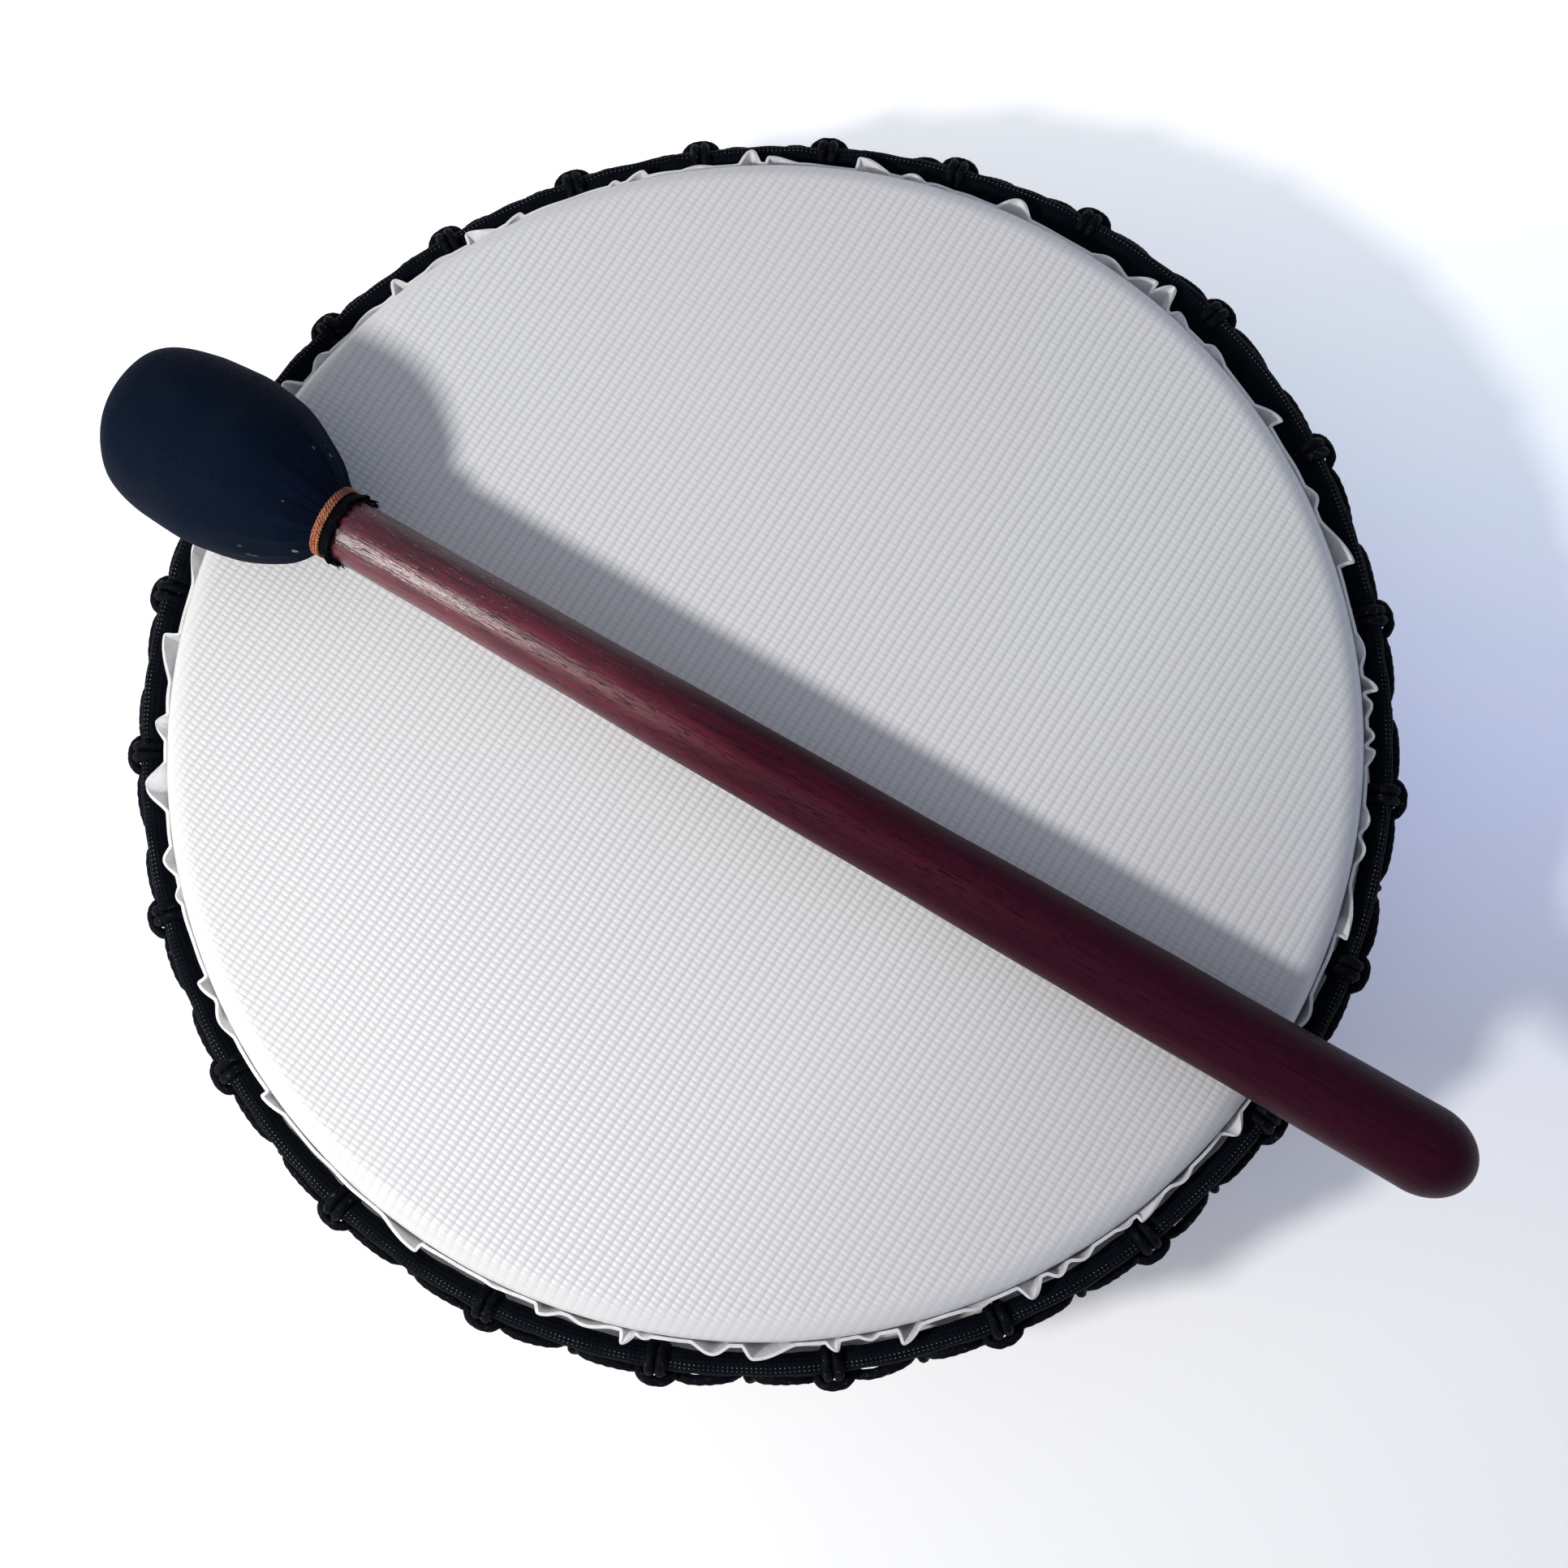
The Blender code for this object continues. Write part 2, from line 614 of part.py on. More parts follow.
def make_drum():
    birch = finish("hoop_wood", (0.52, 0.34, 0.19), 0.55)
    skin = finish("white_skin", (0.78, 0.77, 0.76), 0.45)
    steel = finish("ring_steel", (0.45, 0.45, 0.46), 0.35, 1.0)
    cloth = finish("black_cloth", (0.012, 0.014, 0.018), 0.8)
    cord = finish("black_rope", (0.010, 0.011, 0.014), 0.55)
    stain = finish("stained_wood", (0.16, 0.02, 0.025), 0.3)
    felt = finish("padding_felt", (0.55, 0.52, 0.48), 0.95)
    navy = finish("cover_cloth", (0.008, 0.013, 0.022), 0.85)
    twine = finish("binding_twine", (0.36, 0.13, 0.06), 0.7)
    make_hoop(birch)
    make_drumhead(skin)
    make_rings(steel)
    make_crown_wrap(cloth)
    make_cradle(cord)
    make_lacing(cord)
    make_beater(stain, felt, navy, twine)
    bpy.context.view_layer.update()


make_drum()
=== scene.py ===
import math

import bmesh
import bpy
import numpy as np
from mathutils import Matrix, Vector


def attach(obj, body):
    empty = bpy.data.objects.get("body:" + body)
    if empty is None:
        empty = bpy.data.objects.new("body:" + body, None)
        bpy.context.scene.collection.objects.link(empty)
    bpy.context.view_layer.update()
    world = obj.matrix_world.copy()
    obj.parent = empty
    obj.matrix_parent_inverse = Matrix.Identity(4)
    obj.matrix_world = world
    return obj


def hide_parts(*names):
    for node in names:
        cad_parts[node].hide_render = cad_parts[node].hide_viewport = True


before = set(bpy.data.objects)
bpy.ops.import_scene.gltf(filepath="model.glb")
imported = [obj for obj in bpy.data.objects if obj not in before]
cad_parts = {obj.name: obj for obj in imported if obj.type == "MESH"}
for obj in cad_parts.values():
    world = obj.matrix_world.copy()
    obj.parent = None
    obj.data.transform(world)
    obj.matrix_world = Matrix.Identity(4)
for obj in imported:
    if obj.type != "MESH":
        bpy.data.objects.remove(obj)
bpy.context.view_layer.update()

MM = 0.001

# Camera and light: turns in degrees, the lens in mm and the lamp in watts
CAMERA_PLACE = (0.03323, -0.09529, 0.52937)
CAMERA_TURN = (9.8215, 3.1259, 0.5409)
CAMERA_LENS = 42.857
LAMP_PLACE = (-0.521, -0.266, 0.647)
LAMP_SIZE = 0.10
LAMP_POWER = 5.2
SKY_LEFT = (1.0, 0.985, 0.96)
SKY_RIGHT = (0.62, 0.74, 1.0)
SKY_STRENGTH = 0.40

# Driving sizes, as the frame has them
GAP = 0.3 * MM
ROPE_GAP = 0.5 * MM
HOOP_RADIUS = 150 * MM
HOOP_INNER = 141 * MM
HOOP_TOP = 74.1 * MM
DRUM_HEIGHT = 75 * MM
BEARING_ROUND = 6 * MM
FLESH_ROD = 2 * MM
FLESH_PLACE = (153.2 * MM, 54.805 * MM)
RUFFLE_LINE = 151.5 * MM
RUFFLE_START = 2 * MM
RUFFLE_RISE = 9.8 * MM
CROWN_LEAST = 157.2 * MM
CROWN_HEIGHT = 62.5 * MM
CROWN_BULGES = ((math.radians(47.0), 3.4 * MM), (math.radians(155.0), 1.9 * MM))
BULGE_SIDE = math.radians(45.0)
PAD_INSIDE = 154.1 * MM
PINCH_SIDE = 3.4 * MM
PAD_SIDE = 6.8 * MM
HITCHES = 24
HITCH_START = 81.5
HITCH_DRIFT = ((1, 4.3, 17.5), (2, 2.1, 37.0), (3, 0.8, -21.0))
CRADLE_ROPE = 1.2 * MM
LACING_ROPE = 1.1 * MM
HOOK_TUCK = 1.0 * MM
HOOK_SLANT = 0.7 * MM
NOTCH_LINE = 1.7 * MM
NOTCH_HEIGHT = 3.1 * MM
NOTCH_HALF_WIDTH = 2.75 * MM
STRAND_SIDE = 1.35 * MM
GRIP_RADIUS = 34 * MM
GRIP_ROD = 4 * MM
GRIP_TURN = 6.235 * MM
GRIP_HEIGHT = NOTCH_LINE + GRIP_TURN
STICK_NECK = 7.3 * MM
STICK_BARE = 7.7 * MM
STICK_END = 11.2 * MM
STICK_LENGTH = 310 * MM
STICK_BLUNT = 9.5 * MM
STICK_IN_HEAD = 50 * MM
HEAD_LENGTH = 64.5 * MM
HEAD_RADIUS = 22 * MM
COVER = 0.8 * MM
BINDING_TURNS = 3
REST_IN = 3.2 * MM
HEAD_SIDE = math.radians(154.9)
STICK_SIDE = math.radians(-34.0)
NECK_INSIDE = 35 * MM

# Fine form, which only this script makes. The middle of the skin lies where the frame has it,
# half of the frame's own skin from its faces
SKIN = 0.8 * MM
SKIN_MIDDLE = 0.3 * MM
NOTCH_CUT = 2 * (HOOP_RADIUS - HOOP_INNER)
PAD_OUTWARD = 2.5 * MM
PAD_HALF_HEIGHT = 3.2 * MM
PAD_AT_HITCH = 2.6 * MM
TAPE_SEAM = math.radians(225.0)
PRESSED_SIDE = math.radians(2.6)
PRESSED_FADE = math.radians(2.0)
BRAID_DEPTH = 0.2
LACING_DEPTH = 0.12

# Cradle rope: how tight a hitch is, and where the rope passes beside a hitch and beside a
# loop. The places are outward and up, from the crown ring's line or from the loop
ROPE_SWELL = 1.06
HITCH_TIGHT = 1.7 * MM
SHOULDER_SIDE = 8.5 * MM
SHOULDER = (3.5 * MM, -3.4 * MM)
LOOSE_SHOULDER = (4.4 * MM, -4.4 * MM)
LOOSE_HITCHES = (1, 3, 7, 9, 11, 12, 13)
BESIDE_LOOP_SIDE = 4.2 * MM
BESIDE_LOOP = (1.5 * MM, 4.9 * MM)
LOOP_OUT = 1.9 * MM
LOOP_DOWN = 9.3 * MM
HOOK = 2.45 * MM
LONG_RUN = 18 * MM
RUN_END = 2.5 * MM

# Beater
STICK_EXTRA = 1.4 * MM
STICK_SWELL = 3.1 * MM
STICK_BLUNT_EXTRA = 3.5 * MM
STICK_LEAN = 0.0052
NECK_SLOPE = 1.6 * MM
NECK_CHAMFER = 2 * MM
TWINE = 0.46 * MM
TWINE_PITCH = 0.72 * MM
TWINE_START = -0.35 * MM
TWINE_LAY = 1.9 * MM
HEM_START = 1.9 * MM
HEM_THREADS = 420
THREAD = 0.14 * MM

# Outline of the covered head from its neck to its tip: distance, radius and how far the
# middle lies towards the drum's upper side, all in mm
HEAD_OUTLINE = (
    (0.2, 8.6, 0.0), (1.2, 9.5, -0.2), (3.0, 11.5, -0.4), (5.0, 13.4, -0.5), (8.0, 15.4, -0.5),
    (11.0, 17.1, -0.5), (14.0, 18.7, -0.4), (17.0, 20.0, -0.2), (20.0, 21.0, 0.0), (24.0, 21.8, 0.1),
    (28.0, 22.4, 0.1), (32.0, 22.7, 0.2), (36.0, 22.5, 0.2), (40.0, 22.2, 0.2), (44.0, 21.8, 0.2),
    (47.0, 21.2, 0.2), (50.0, 20.4, 0.3), (53.0, 19.2, 0.5), (55.6, 17.4, 1.0), (57.8, 15.0, 1.5),
    (59.4, 11.6, 1.8), (60.3, 7.4, 2.0), (60.7, 3.2, 2.0),
)

# Half the head's height at most, how far the filling lies inside the cover, and gathers
HEAD_HALF_HEIGHT = 21.7 * MM
FILLING_INSIDE = 1.7 * MM
FILLING_SHARE = 0.98
NECK_GATHERS = 23
SLOW_GATHERS = 11

# Folds of the skin's trimmed edge, clockwise from the top: place of the crest in degrees,
# reach outward in mm, degrees that the fold takes before and after its crest, and how far
# the crest leans clockwise in mm
FOLDS = (
    (89.2, 2.1, 0.5, 3.4, -0.3), (80.1, 4.1, 0.5, 3.4, -0.8), (74.7, 1.7, 1.4, 1.4, 0.2),
    (72.2, 0.7, 1.3, 2.5, 0.0), (64.4, 4.5, 1.6, 2.4, 0.8), (53.7, 2.0, 1.9, 3.0, 0.0),
    (48.8, 4.5, 2.3, 0.6, 0.7), (47.4, 6.9, 1.0, 1.7, 0.9), (44.8, 2.3, 0.7, 1.9, 0.0),
    (40.0, 2.0, 0.9, 2.6, 0.0), (31.0, 3.9, 2.3, 0.6, 1.5), (22.4, 2.0, 1.6, 1.4, 0.0),
    (15.8, 4.5, 4.4, 0.7, 1.3), (7.1, 1.8, 1.9, 2.2, 0.0), (3.2, 3.4, 1.2, 0.5, 0.5),
    (1.6, 1.7, 0.9, 1.6, 0.0), (-1.4, 1.8, 1.0, 0.9, 0.0), (-3.0, 2.3, 0.6, 1.4, -0.5),
    (-9.3, 2.0, 1.6, 1.5, 0.0), (-12.2, 1.7, 1.3, 1.8, 0.0), (-19.9, 3.2, 4.9, 0.6, 1.4),
    (-28.4, 1.8, 2.2, 2.2, 0.0), (-33.5, 2.0, 2.0, 1.6, 0.3), (-40.4, 3.4, 1.6, 1.4, 0.7),
    (-47.0, 1.3, 1.6, 1.6, 0.0), (-51.9, 2.3, 3.0, 0.6, 1.0), (-53.5, 1.0, 0.8, 1.5, 0.0),
    (-58.4, 1.5, 1.5, 1.4, 0.0), (-61.0, 2.0, 1.2, 1.2, 0.2), (-63.9, 4.0, 1.4, 1.2, 0.5),
    (-68.9, 1.0, 1.6, 1.6, 0.0), (-75.8, 3.7, 1.8, 0.7, 0.9), (-78.9, 1.2, 1.0, 1.2, 0.0),
    (-82.3, 2.7, 0.7, 0.8, -0.7), (-89.4, 3.4, 4.0, 1.3, 0.3), (-93.2, 2.6, 1.8, 2.2, 0.0),
    (-99.5, 1.0, 1.0, 1.0, 0.0), (-101.0, 3.4, 0.8, 0.7, 1.0), (-105.0, 1.3, 2.5, 2.0, 0.0),
    (-109.1, 2.0, 2.0, 0.8, 0.4), (-114.0, 0.5, 1.5, 1.5, 0.0), (-122.3, 2.5, 0.7, 4.5, -0.9),
    (-141.7, 2.0, 2.6, 0.7, 1.3), (-150.2, 1.8, 2.2, 2.2, 0.0), (-154.1, 2.7, 2.0, 0.8, 1.0),
    (-163.0, 1.3, 1.1, 1.0, 0.0), (-166.7, 2.6, 1.9, 1.4, 0.0), (-174.2, 5.7, 3.0, 2.2, 0.4),
    (179.9, 3.3, 2.0, 0.9, 0.3), (171.7, 4.3, 4.6, 0.7, 1.1), (162.0, 3.7, 4.1, 1.6, 0.0),
    (155.5, 2.0, 1.8, 2.4, 0.0), (149.5, 2.5, 2.2, 1.4, 0.5), (144.1, 5.2, 1.4, 1.4, 0.4),
    (139.8, 2.3, 1.7, 1.3, 0.0), (133.5, 1.2, 2.5, 2.5, 0.0), (129.3, 4.0, 0.9, 1.0, 0.2),
    (124.5, 1.2, 2.0, 2.0, 0.0), (120.4, 4.0, 0.7, 2.8, -0.7), (115.3, 1.6, 1.8, 0.7, 0.6),
    (105.0, 1.2, 0.8, 0.6, 0.0), (102.3, 2.1, 1.8, 0.8, 0.5), (96.6, 1.0, 2.0, 2.0, 0.0),
    (91.2, 4.5, 1.3, 1.1, 0.3),
)

# How narrow a fold's crest is, how late up the edge it swings outward when it is free or
# pressed by a hitch, and how much its trimmed edge droops
FOLD_ROUNDNESS = 1.5
FOLD_FLARE = 1.35
PRESSED_FLARE = 9.0
FOLD_DROOP = 0.35

SCENE = bpy.context.scene


class Nodes:
    """A material's node tree, with short ways to add the nodes that most materials here use."""

    def __init__(self, name, colour, roughness, metallic=0.0):
        self.material = bpy.data.materials.new(name)
        self.material.use_nodes = True
        self.tree = self.material.node_tree
        self.shader = self.tree.nodes["Principled BSDF"]
        self.shader.inputs["Base Color"].default_value = (*colour, 1.0)
        self.shader.inputs["Roughness"].default_value = roughness
        self.shader.inputs["Metallic"].default_value = metallic
        self.place = self.add("ShaderNodeTexCoord").outputs["Object"]

    def add(self, kind, **settings):
        node = self.tree.nodes.new(kind)
        for key, value in settings.items():
            setattr(node, key, value)
        return node

    def put(self, target, value):
        if isinstance(value, bpy.types.NodeSocket):
            self.tree.links.new(value, target)
        elif isinstance(value, tuple) and target.type == "RGBA":
            target.default_value = (*value, 1.0)
        else:
            target.default_value = value

    def math(self, operation, first, second=0.0, third=0.0):
        node = self.add("ShaderNodeMath", operation=operation)
        for socket, value in zip(node.inputs, (first, second, third)):
            self.put(socket, value)
        return node.outputs[0]

    def times(self, first, second):
        return self.math("MULTIPLY", first, second)

    def plus(self, first, second):
        return self.math("ADD", first, second)

    def split(self, source=None):
        node = self.add("ShaderNodeSeparateXYZ")
        self.put(node.inputs[0], source or self.place)
        return node.outputs

    def stored(self, name):
        """A value that the mesh holds at each of its points."""
        return self.add("ShaderNodeAttribute", attribute_name=name)

    def mapped(self, scale):
        node = self.add("ShaderNodeMapping")
        self.put(node.inputs["Vector"], self.place)
        node.inputs["Scale"].default_value = scale
        return node.outputs["Vector"]

    def noise(self, scale, detail=4.0, roughness=0.5, source=None, distortion=0.0):
        node = self.add("ShaderNodeTexNoise")
        self.put(node.inputs["Vector"], source or self.place)
        node.inputs["Scale"].default_value = scale
        node.inputs["Detail"].default_value = detail
        node.inputs["Roughness"].default_value = roughness
        node.inputs["Distortion"].default_value = distortion
        return node.outputs["Fac"]

    def ramp(self, factor, *stops):
        node = self.add("ShaderNodeValToRGB")
        self.put(node.inputs["Fac"], factor)
        elements = node.color_ramp.elements
        while len(elements) < len(stops):
            elements.new(0.5)
        for element, (place, colour) in zip(elements, stops):
            element.position = place
            element.color = (*colour, 1.0)
        return node.outputs["Color"]

    def range(self, factor, low, high, first=0.0, last=1.0):
        node = self.add("ShaderNodeMapRange")
        for socket, value in zip(node.inputs, (factor, low, high, first, last)):
            self.put(socket, value)
        return node.outputs[0]

    def mix(self, factor, first, second):
        node = self.add("ShaderNodeMix", data_type="RGBA")
        # The node's sockets for a number, two vectors and two colours share their names
        self.put(node.inputs[0], factor)
        self.put(node.inputs[6], first)
        self.put(node.inputs[7], second)
        return node.outputs[2]

    def bump(self, height, distance=MM):
        """Normal from a height in units of the distance, which is a millimetre unless it is given."""
        node = self.add("ShaderNodeBump")
        self.put(node.inputs["Height"], height)
        node.inputs["Distance"].default_value = distance
        return node.outputs["Normal"]

    def wave(self, along, pitch):
        """Rounded ribs with narrow valleys, from 0 to 1, across a length."""
        return self.math("ABSOLUTE", self.math("SINE", self.times(along, math.pi / pitch)))

    def finish(self, colour, roughness, normal):
        self.put(self.shader.inputs["Base Color"], colour)
        self.put(self.shader.inputs["Roughness"], roughness)
        self.put(self.shader.inputs["Normal"], normal)
        return self.material


def skin_material():
    """White coated scrim: rounded ribs one way and finer threads over them the other way, with painted
    shade in its valleys and towards its lower right.
    """
    made = Nodes("coated_scrim", (0.8, 0.79, 0.79), 0.38)
    x, y, z = made.split()
    wobble = made.range(made.noise(24.0, 2.0), 0.0, 1.0, -0.9 * MM, 0.9 * MM)

    def across(degrees):
        turn = math.radians(degrees)
        return made.math("MULTIPLY_ADD", x, math.cos(turn), made.times(y, math.sin(turn)))

    rib = made.wave(made.plus(across(-31.7), wobble), 2.48 * MM)
    thread = made.wave(made.plus(across(57.2), wobble), 1.42 * MM)
    over = made.times(thread, made.math("MULTIPLY_ADD", rib, 0.65, 0.35))
    filled = made.range(across(41.0), -110 * MM, 80 * MM)
    rib_depth = made.range(filled, 0.0, 1.0, 0.085, 0.13)
    thread_depth = made.range(filled, 0.0, 1.0, 0.11, 0.05)
    radius = made.math("SQRT", made.plus(made.times(x, x), made.times(y, y)))
    flat = made.range(radius, 143 * MM, 148 * MM, 1.0, 0.3)
    grain = made.noise(1800.0, 2.0)
    relief = made.plus(made.times(rib, rib_depth), made.times(over, thread_depth))
    height = made.math("MULTIPLY_ADD", grain, 0.012, made.times(relief, flat))
    # Painted shade: the weave's valleys are darker and its crowns paler.
    wear_and_painted_light = made.ramp(
        made.times(relief, 5.1),
        (0.0, (0.60, 0.60, 0.62)),
        (0.4, (0.765, 0.76, 0.765)),
        (1.0, (0.83, 0.825, 0.82)),
    )
    plain = made.mix(flat, (0.79, 0.785, 0.785), wear_and_painted_light)
    blush = made.range(made.noise(9.0, 2.0), 0.45, 0.75, 0.0, 0.35)
    # Painted shade: the scrim greys towards its lower right side.
    painted_shade_lower_right = made.range(across(-38.0), 60 * MM, 155 * MM, 0.0, 0.55)
    unshaded_scrim = made.mix(blush, plain, (0.81, 0.755, 0.785))
    return made.finish(
        made.mix(painted_shade_lower_right, unshaded_scrim, (0.50, 0.495, 0.52)),
        made.range(grain, 0.3, 0.7, 0.33, 0.44),
        made.bump(height),
    )


def hoop_material():
    """Bent birch ply: grain round the hoop, and the plies in its edges."""
    made = Nodes("oiled_birch", (0.52, 0.34, 0.19), 0.5)
    x, y, z = made.split()
    wide = made.noise(1.0, 6.0, 0.62, made.mapped((14, 14, 420)), 0.6)
    fine = made.noise(1.0, 6.0, 0.7, made.mapped((60, 60, 2600)))
    radius = made.math("SQRT", made.plus(made.times(x, x), made.times(y, y)))
    plies = made.wave(radius, 1.5 * MM)
    tone = made.plus(made.times(fine, 0.4), made.times(wide, 0.6))
    face = made.ramp(
        tone, (0.3, (0.40, 0.24, 0.12)), (0.52, (0.56, 0.37, 0.21)), (0.72, (0.66, 0.47, 0.29))
    )
    return made.finish(
        made.mix(made.range(plies, 0.15, 0.45, 0.4, 0.0), face, (0.30, 0.17, 0.08)),
        made.range(fine, 0.3, 0.7, 0.42, 0.58),
        made.bump(fine, 0.06 * MM),
    )


def stick_material():
    """Dark red stain over open grain that runs along the stick, under a satin polish."""
    made = Nodes("red_stain", (0.10, 0.012, 0.024), 0.4)
    x, y, z = made.split()
    wide = made.noise(1.0, 5.0, 0.6, made.mapped((210, 210, 9)), 0.8)
    fine = made.noise(1.0, 6.0, 0.7, made.mapped((1900, 1900, 60)))
    pores = made.noise(1.0, 2.0, 0.5, made.mapped((2400, 2400, 210)))
    pits = made.range(pores, 0.60, 0.66)
    stain = made.ramp(
        made.plus(made.times(fine, 0.5), made.times(wide, 0.5)),
        (0.38, (0.036, 0.004, 0.011)),
        (0.5, (0.100, 0.011, 0.023)),
        (0.62, (0.195, 0.022, 0.040)),
    )
    pitted = made.mix(made.times(pits, 0.9), stain, (0.012, 0.002, 0.005))
    darker = made.ramp(
        made.range(z, 0.0, STICK_LENGTH),
        (0.14, (0.0, 0.0, 0.0)),
        (0.40, (0.66, 0.66, 0.66)),
        (0.62, (0.84, 0.84, 0.84)),
        (1.0, (0.95, 0.95, 0.95)),
    )
    relief = made.bump(made.plus(made.times(fine, 0.11), made.times(pits, -0.13)))
    made.put(made.shader.inputs["Specular IOR Level"], made.range(z, 30 * MM, 120 * MM, 0.42, 0.08))
    made.put(made.shader.inputs["Coat Weight"], made.range(z, 40 * MM, 110 * MM, 0.50, 0.03))
    made.put(made.shader.inputs["Coat Normal"], relief)
    made.shader.inputs["Coat Roughness"].default_value = 0.16
    return made.finish(
        made.mix(darker, pitted, (0.022, 0.0008, 0.0085)),
        made.range(fine, 0.3, 0.7, 0.36, 0.50),
        relief,
    )


def cord_material():
    """Black braided cord: relief from the mesh, and painted glints as pale marks on the crowns of the
    strands.
    """
    made = Nodes("braided_cord", (0.0035, 0.004, 0.006), 0.6)
    relief = made.stored("relief").outputs["Fac"]
    fuzz = made.noise(1500.0, 3.0, 0.65)
    # Painted glints: pale marks on the crowns of the strands.
    painted_strand_glints = made.times(made.range(made.noise(700.0, 3.0, 0.7), 0.60, 0.68), relief)
    base = made.ramp(fuzz, (0.3, (0.0008, 0.0012, 0.0028)), (0.75, (0.0035, 0.0045, 0.0085)))
    made.shader.inputs["Specular IOR Level"].default_value = 0.06
    return made.finish(
        made.mix(made.times(painted_strand_glints, 0.5), base, (0.10, 0.10, 0.11)),
        made.range(fuzz, 0.3, 0.7, 0.5, 0.75),
        made.bump(made.times(fuzz, 0.12)),
    )


def tape_material():
    """Black knitted tape, with painted glints in rows of small pale stitches along its top."""
    made = Nodes("knitted_tape", (0.003, 0.004, 0.006), 0.75)
    along, around, rest = made.split(made.stored("lie").outputs["Vector"])
    row_turn = math.radians(22.0)
    rows = made.math("COSINE", made.times(made.plus(around, -math.radians(86.0)), math.tau / row_turn))
    stitches = made.math("COSINE", made.times(along, math.tau / (1.15 * MM)))
    # Painted glints: pale dots in rows along the tape's top, stronger or weaker at random.
    dot = made.range(made.times(made.math("MAXIMUM", rows, 0.0), stitches), 0.55, 0.85)
    beside = made.math("ABSOLUTE", made.plus(around, -math.radians(75.0)))
    top = made.range(beside, 0.30, 0.42, 1.0, 0.0)
    wear_and_painted_light = made.range(made.noise(160.0, 2.0), 0.38, 0.60, 0.12, 1.0)
    fuzz = made.noise(1400.0, 3.0, 0.6)
    base = made.ramp(fuzz, (0.3, (0.0006, 0.0014, 0.0032)), (0.75, (0.0022, 0.0040, 0.0080)))
    painted_stitch_glints = made.times(made.times(dot, top), wear_and_painted_light)
    knit = made.plus(made.times(rows, 0.06), made.times(stitches, 0.03))
    made.shader.inputs["Specular IOR Level"].default_value = 0.06
    return made.finish(
        made.mix(made.times(painted_stitch_glints, 0.8), base, (0.26, 0.27, 0.26)),
        made.range(fuzz, 0.3, 0.7, 0.62, 0.85),
        made.bump(made.plus(knit, made.times(fuzz, 0.08))),
    )


def cover_material():
    """Blue-black cotton, matt and finely woven, with small pale specks near the neck where it is gathered.
    """
    made = Nodes("blue_black_cotton", (0.003, 0.008, 0.022), 0.85)
    x, y, z = made.split()
    weave = made.plus(made.wave(x, 0.42 * MM), made.wave(z, 0.42 * MM))
    fuzz = made.noise(1300.0, 3.0, 0.6)
    patches = made.noise(45.0, 3.0)
    base = made.ramp(
        patches,
        (0.35, (0.0014, 0.0050, 0.0165)),
        (0.5, (0.0008, 0.0054, 0.0175)),
        (0.65, (0.0028, 0.0066, 0.0165)),
    )
    # Random paler patches of wear.
    wear_and_painted_light = made.range(made.times(fuzz, made.noise(90.0, 2.0)), 0.22, 0.42, 0.0, 0.35)
    # Small pale specks, strongest near the neck.
    pale_neck_specks = made.range(made.noise(420.0, 2.0, 0.6, made.mapped((1, 1, 0.45))), 0.70, 0.73)
    beside_neck = made.range(z, -16 * MM, -3 * MM, 0.0, 0.7)
    made.shader.inputs["Specular IOR Level"].default_value = 0.08
    cloth = made.mix(wear_and_painted_light, base, (0.006, 0.011, 0.023))
    cloth = made.mix(made.range(z, 0.2 * MM, 1.2 * MM), cloth, (0.0012, 0.0014, 0.003))
    return made.finish(
        made.mix(made.times(pale_neck_specks, beside_neck), cloth, (0.30, 0.33, 0.36)),
        made.range(fuzz, 0.3, 0.7, 0.72, 0.95),
        made.bump(made.plus(made.times(weave, 0.02), made.times(fuzz, 0.035))),
    )


def twine_material():
    """Orange-brown waxed twine."""
    made = Nodes("waxed_twine", (0.45, 0.15, 0.06), 0.5)
    x, y, z = made.split()
    fibres = made.noise(1700.0, 3.0, 0.6)
    dirt = made.noise(150.0, 3.0)
    base = made.ramp(
        fibres, (0.3, (0.18, 0.045, 0.022)), (0.5, (0.42, 0.135, 0.058)), (0.72, (0.66, 0.31, 0.15))
    )
    # Random dirt, and painted shade that darkens the twine's upper side, away from the lamp.
    dirt_and_painted_shade = made.plus(made.range(dirt, 0.5, 0.7, 0.0, 0.5), made.range(x, 1 * MM, 6 * MM, 0.0, 0.6))
    return made.finish(
        made.mix(made.math("MINIMUM", dirt_and_painted_shade, 0.85), base, (0.16, 0.03, 0.03)),
        made.range(fibres, 0.3, 0.7, 0.42, 0.6),
        made.bump(made.times(fibres, 0.12)),
    )


def steel_material():
    """Bare drawn rod."""
    made = Nodes("drawn_steel", (0.45, 0.45, 0.46), 0.35, 1.0)
    streaks = made.noise(1.0, 4.0, 0.6, made.mapped((90, 90, 1500)))
    return made.finish(
        made.ramp(streaks, (0.3, (0.33, 0.33, 0.34)), (0.7, (0.53, 0.53, 0.54))),
        made.range(streaks, 0.3, 0.7, 0.27, 0.46),
        made.bump(streaks, 0.02 * MM),
    )


def felt_material():
    """Pale wool felt, hidden inside the beater's cover."""
    made = Nodes("wool_felt", (0.55, 0.52, 0.48), 0.95)
    wool = made.noise(900.0, 4.0, 0.7)
    return made.finish(
        made.ramp(wool, (0.3, (0.46, 0.43, 0.39)), (0.7, (0.62, 0.59, 0.54))),
        made.range(wool, 0.3, 0.7, 0.88, 0.98),
        made.bump(made.times(wool, 0.3)),
    )


def wrapped(angle):
    """The same angle between minus half a turn and half a turn."""
    return (angle + math.pi) % math.tau - math.pi


def eased(share):
    """A share from 0 to 1 that starts and ends gently."""
    share = np.clip(share, 0.0, 1.0)
    return share * share * (3 - 2 * share)


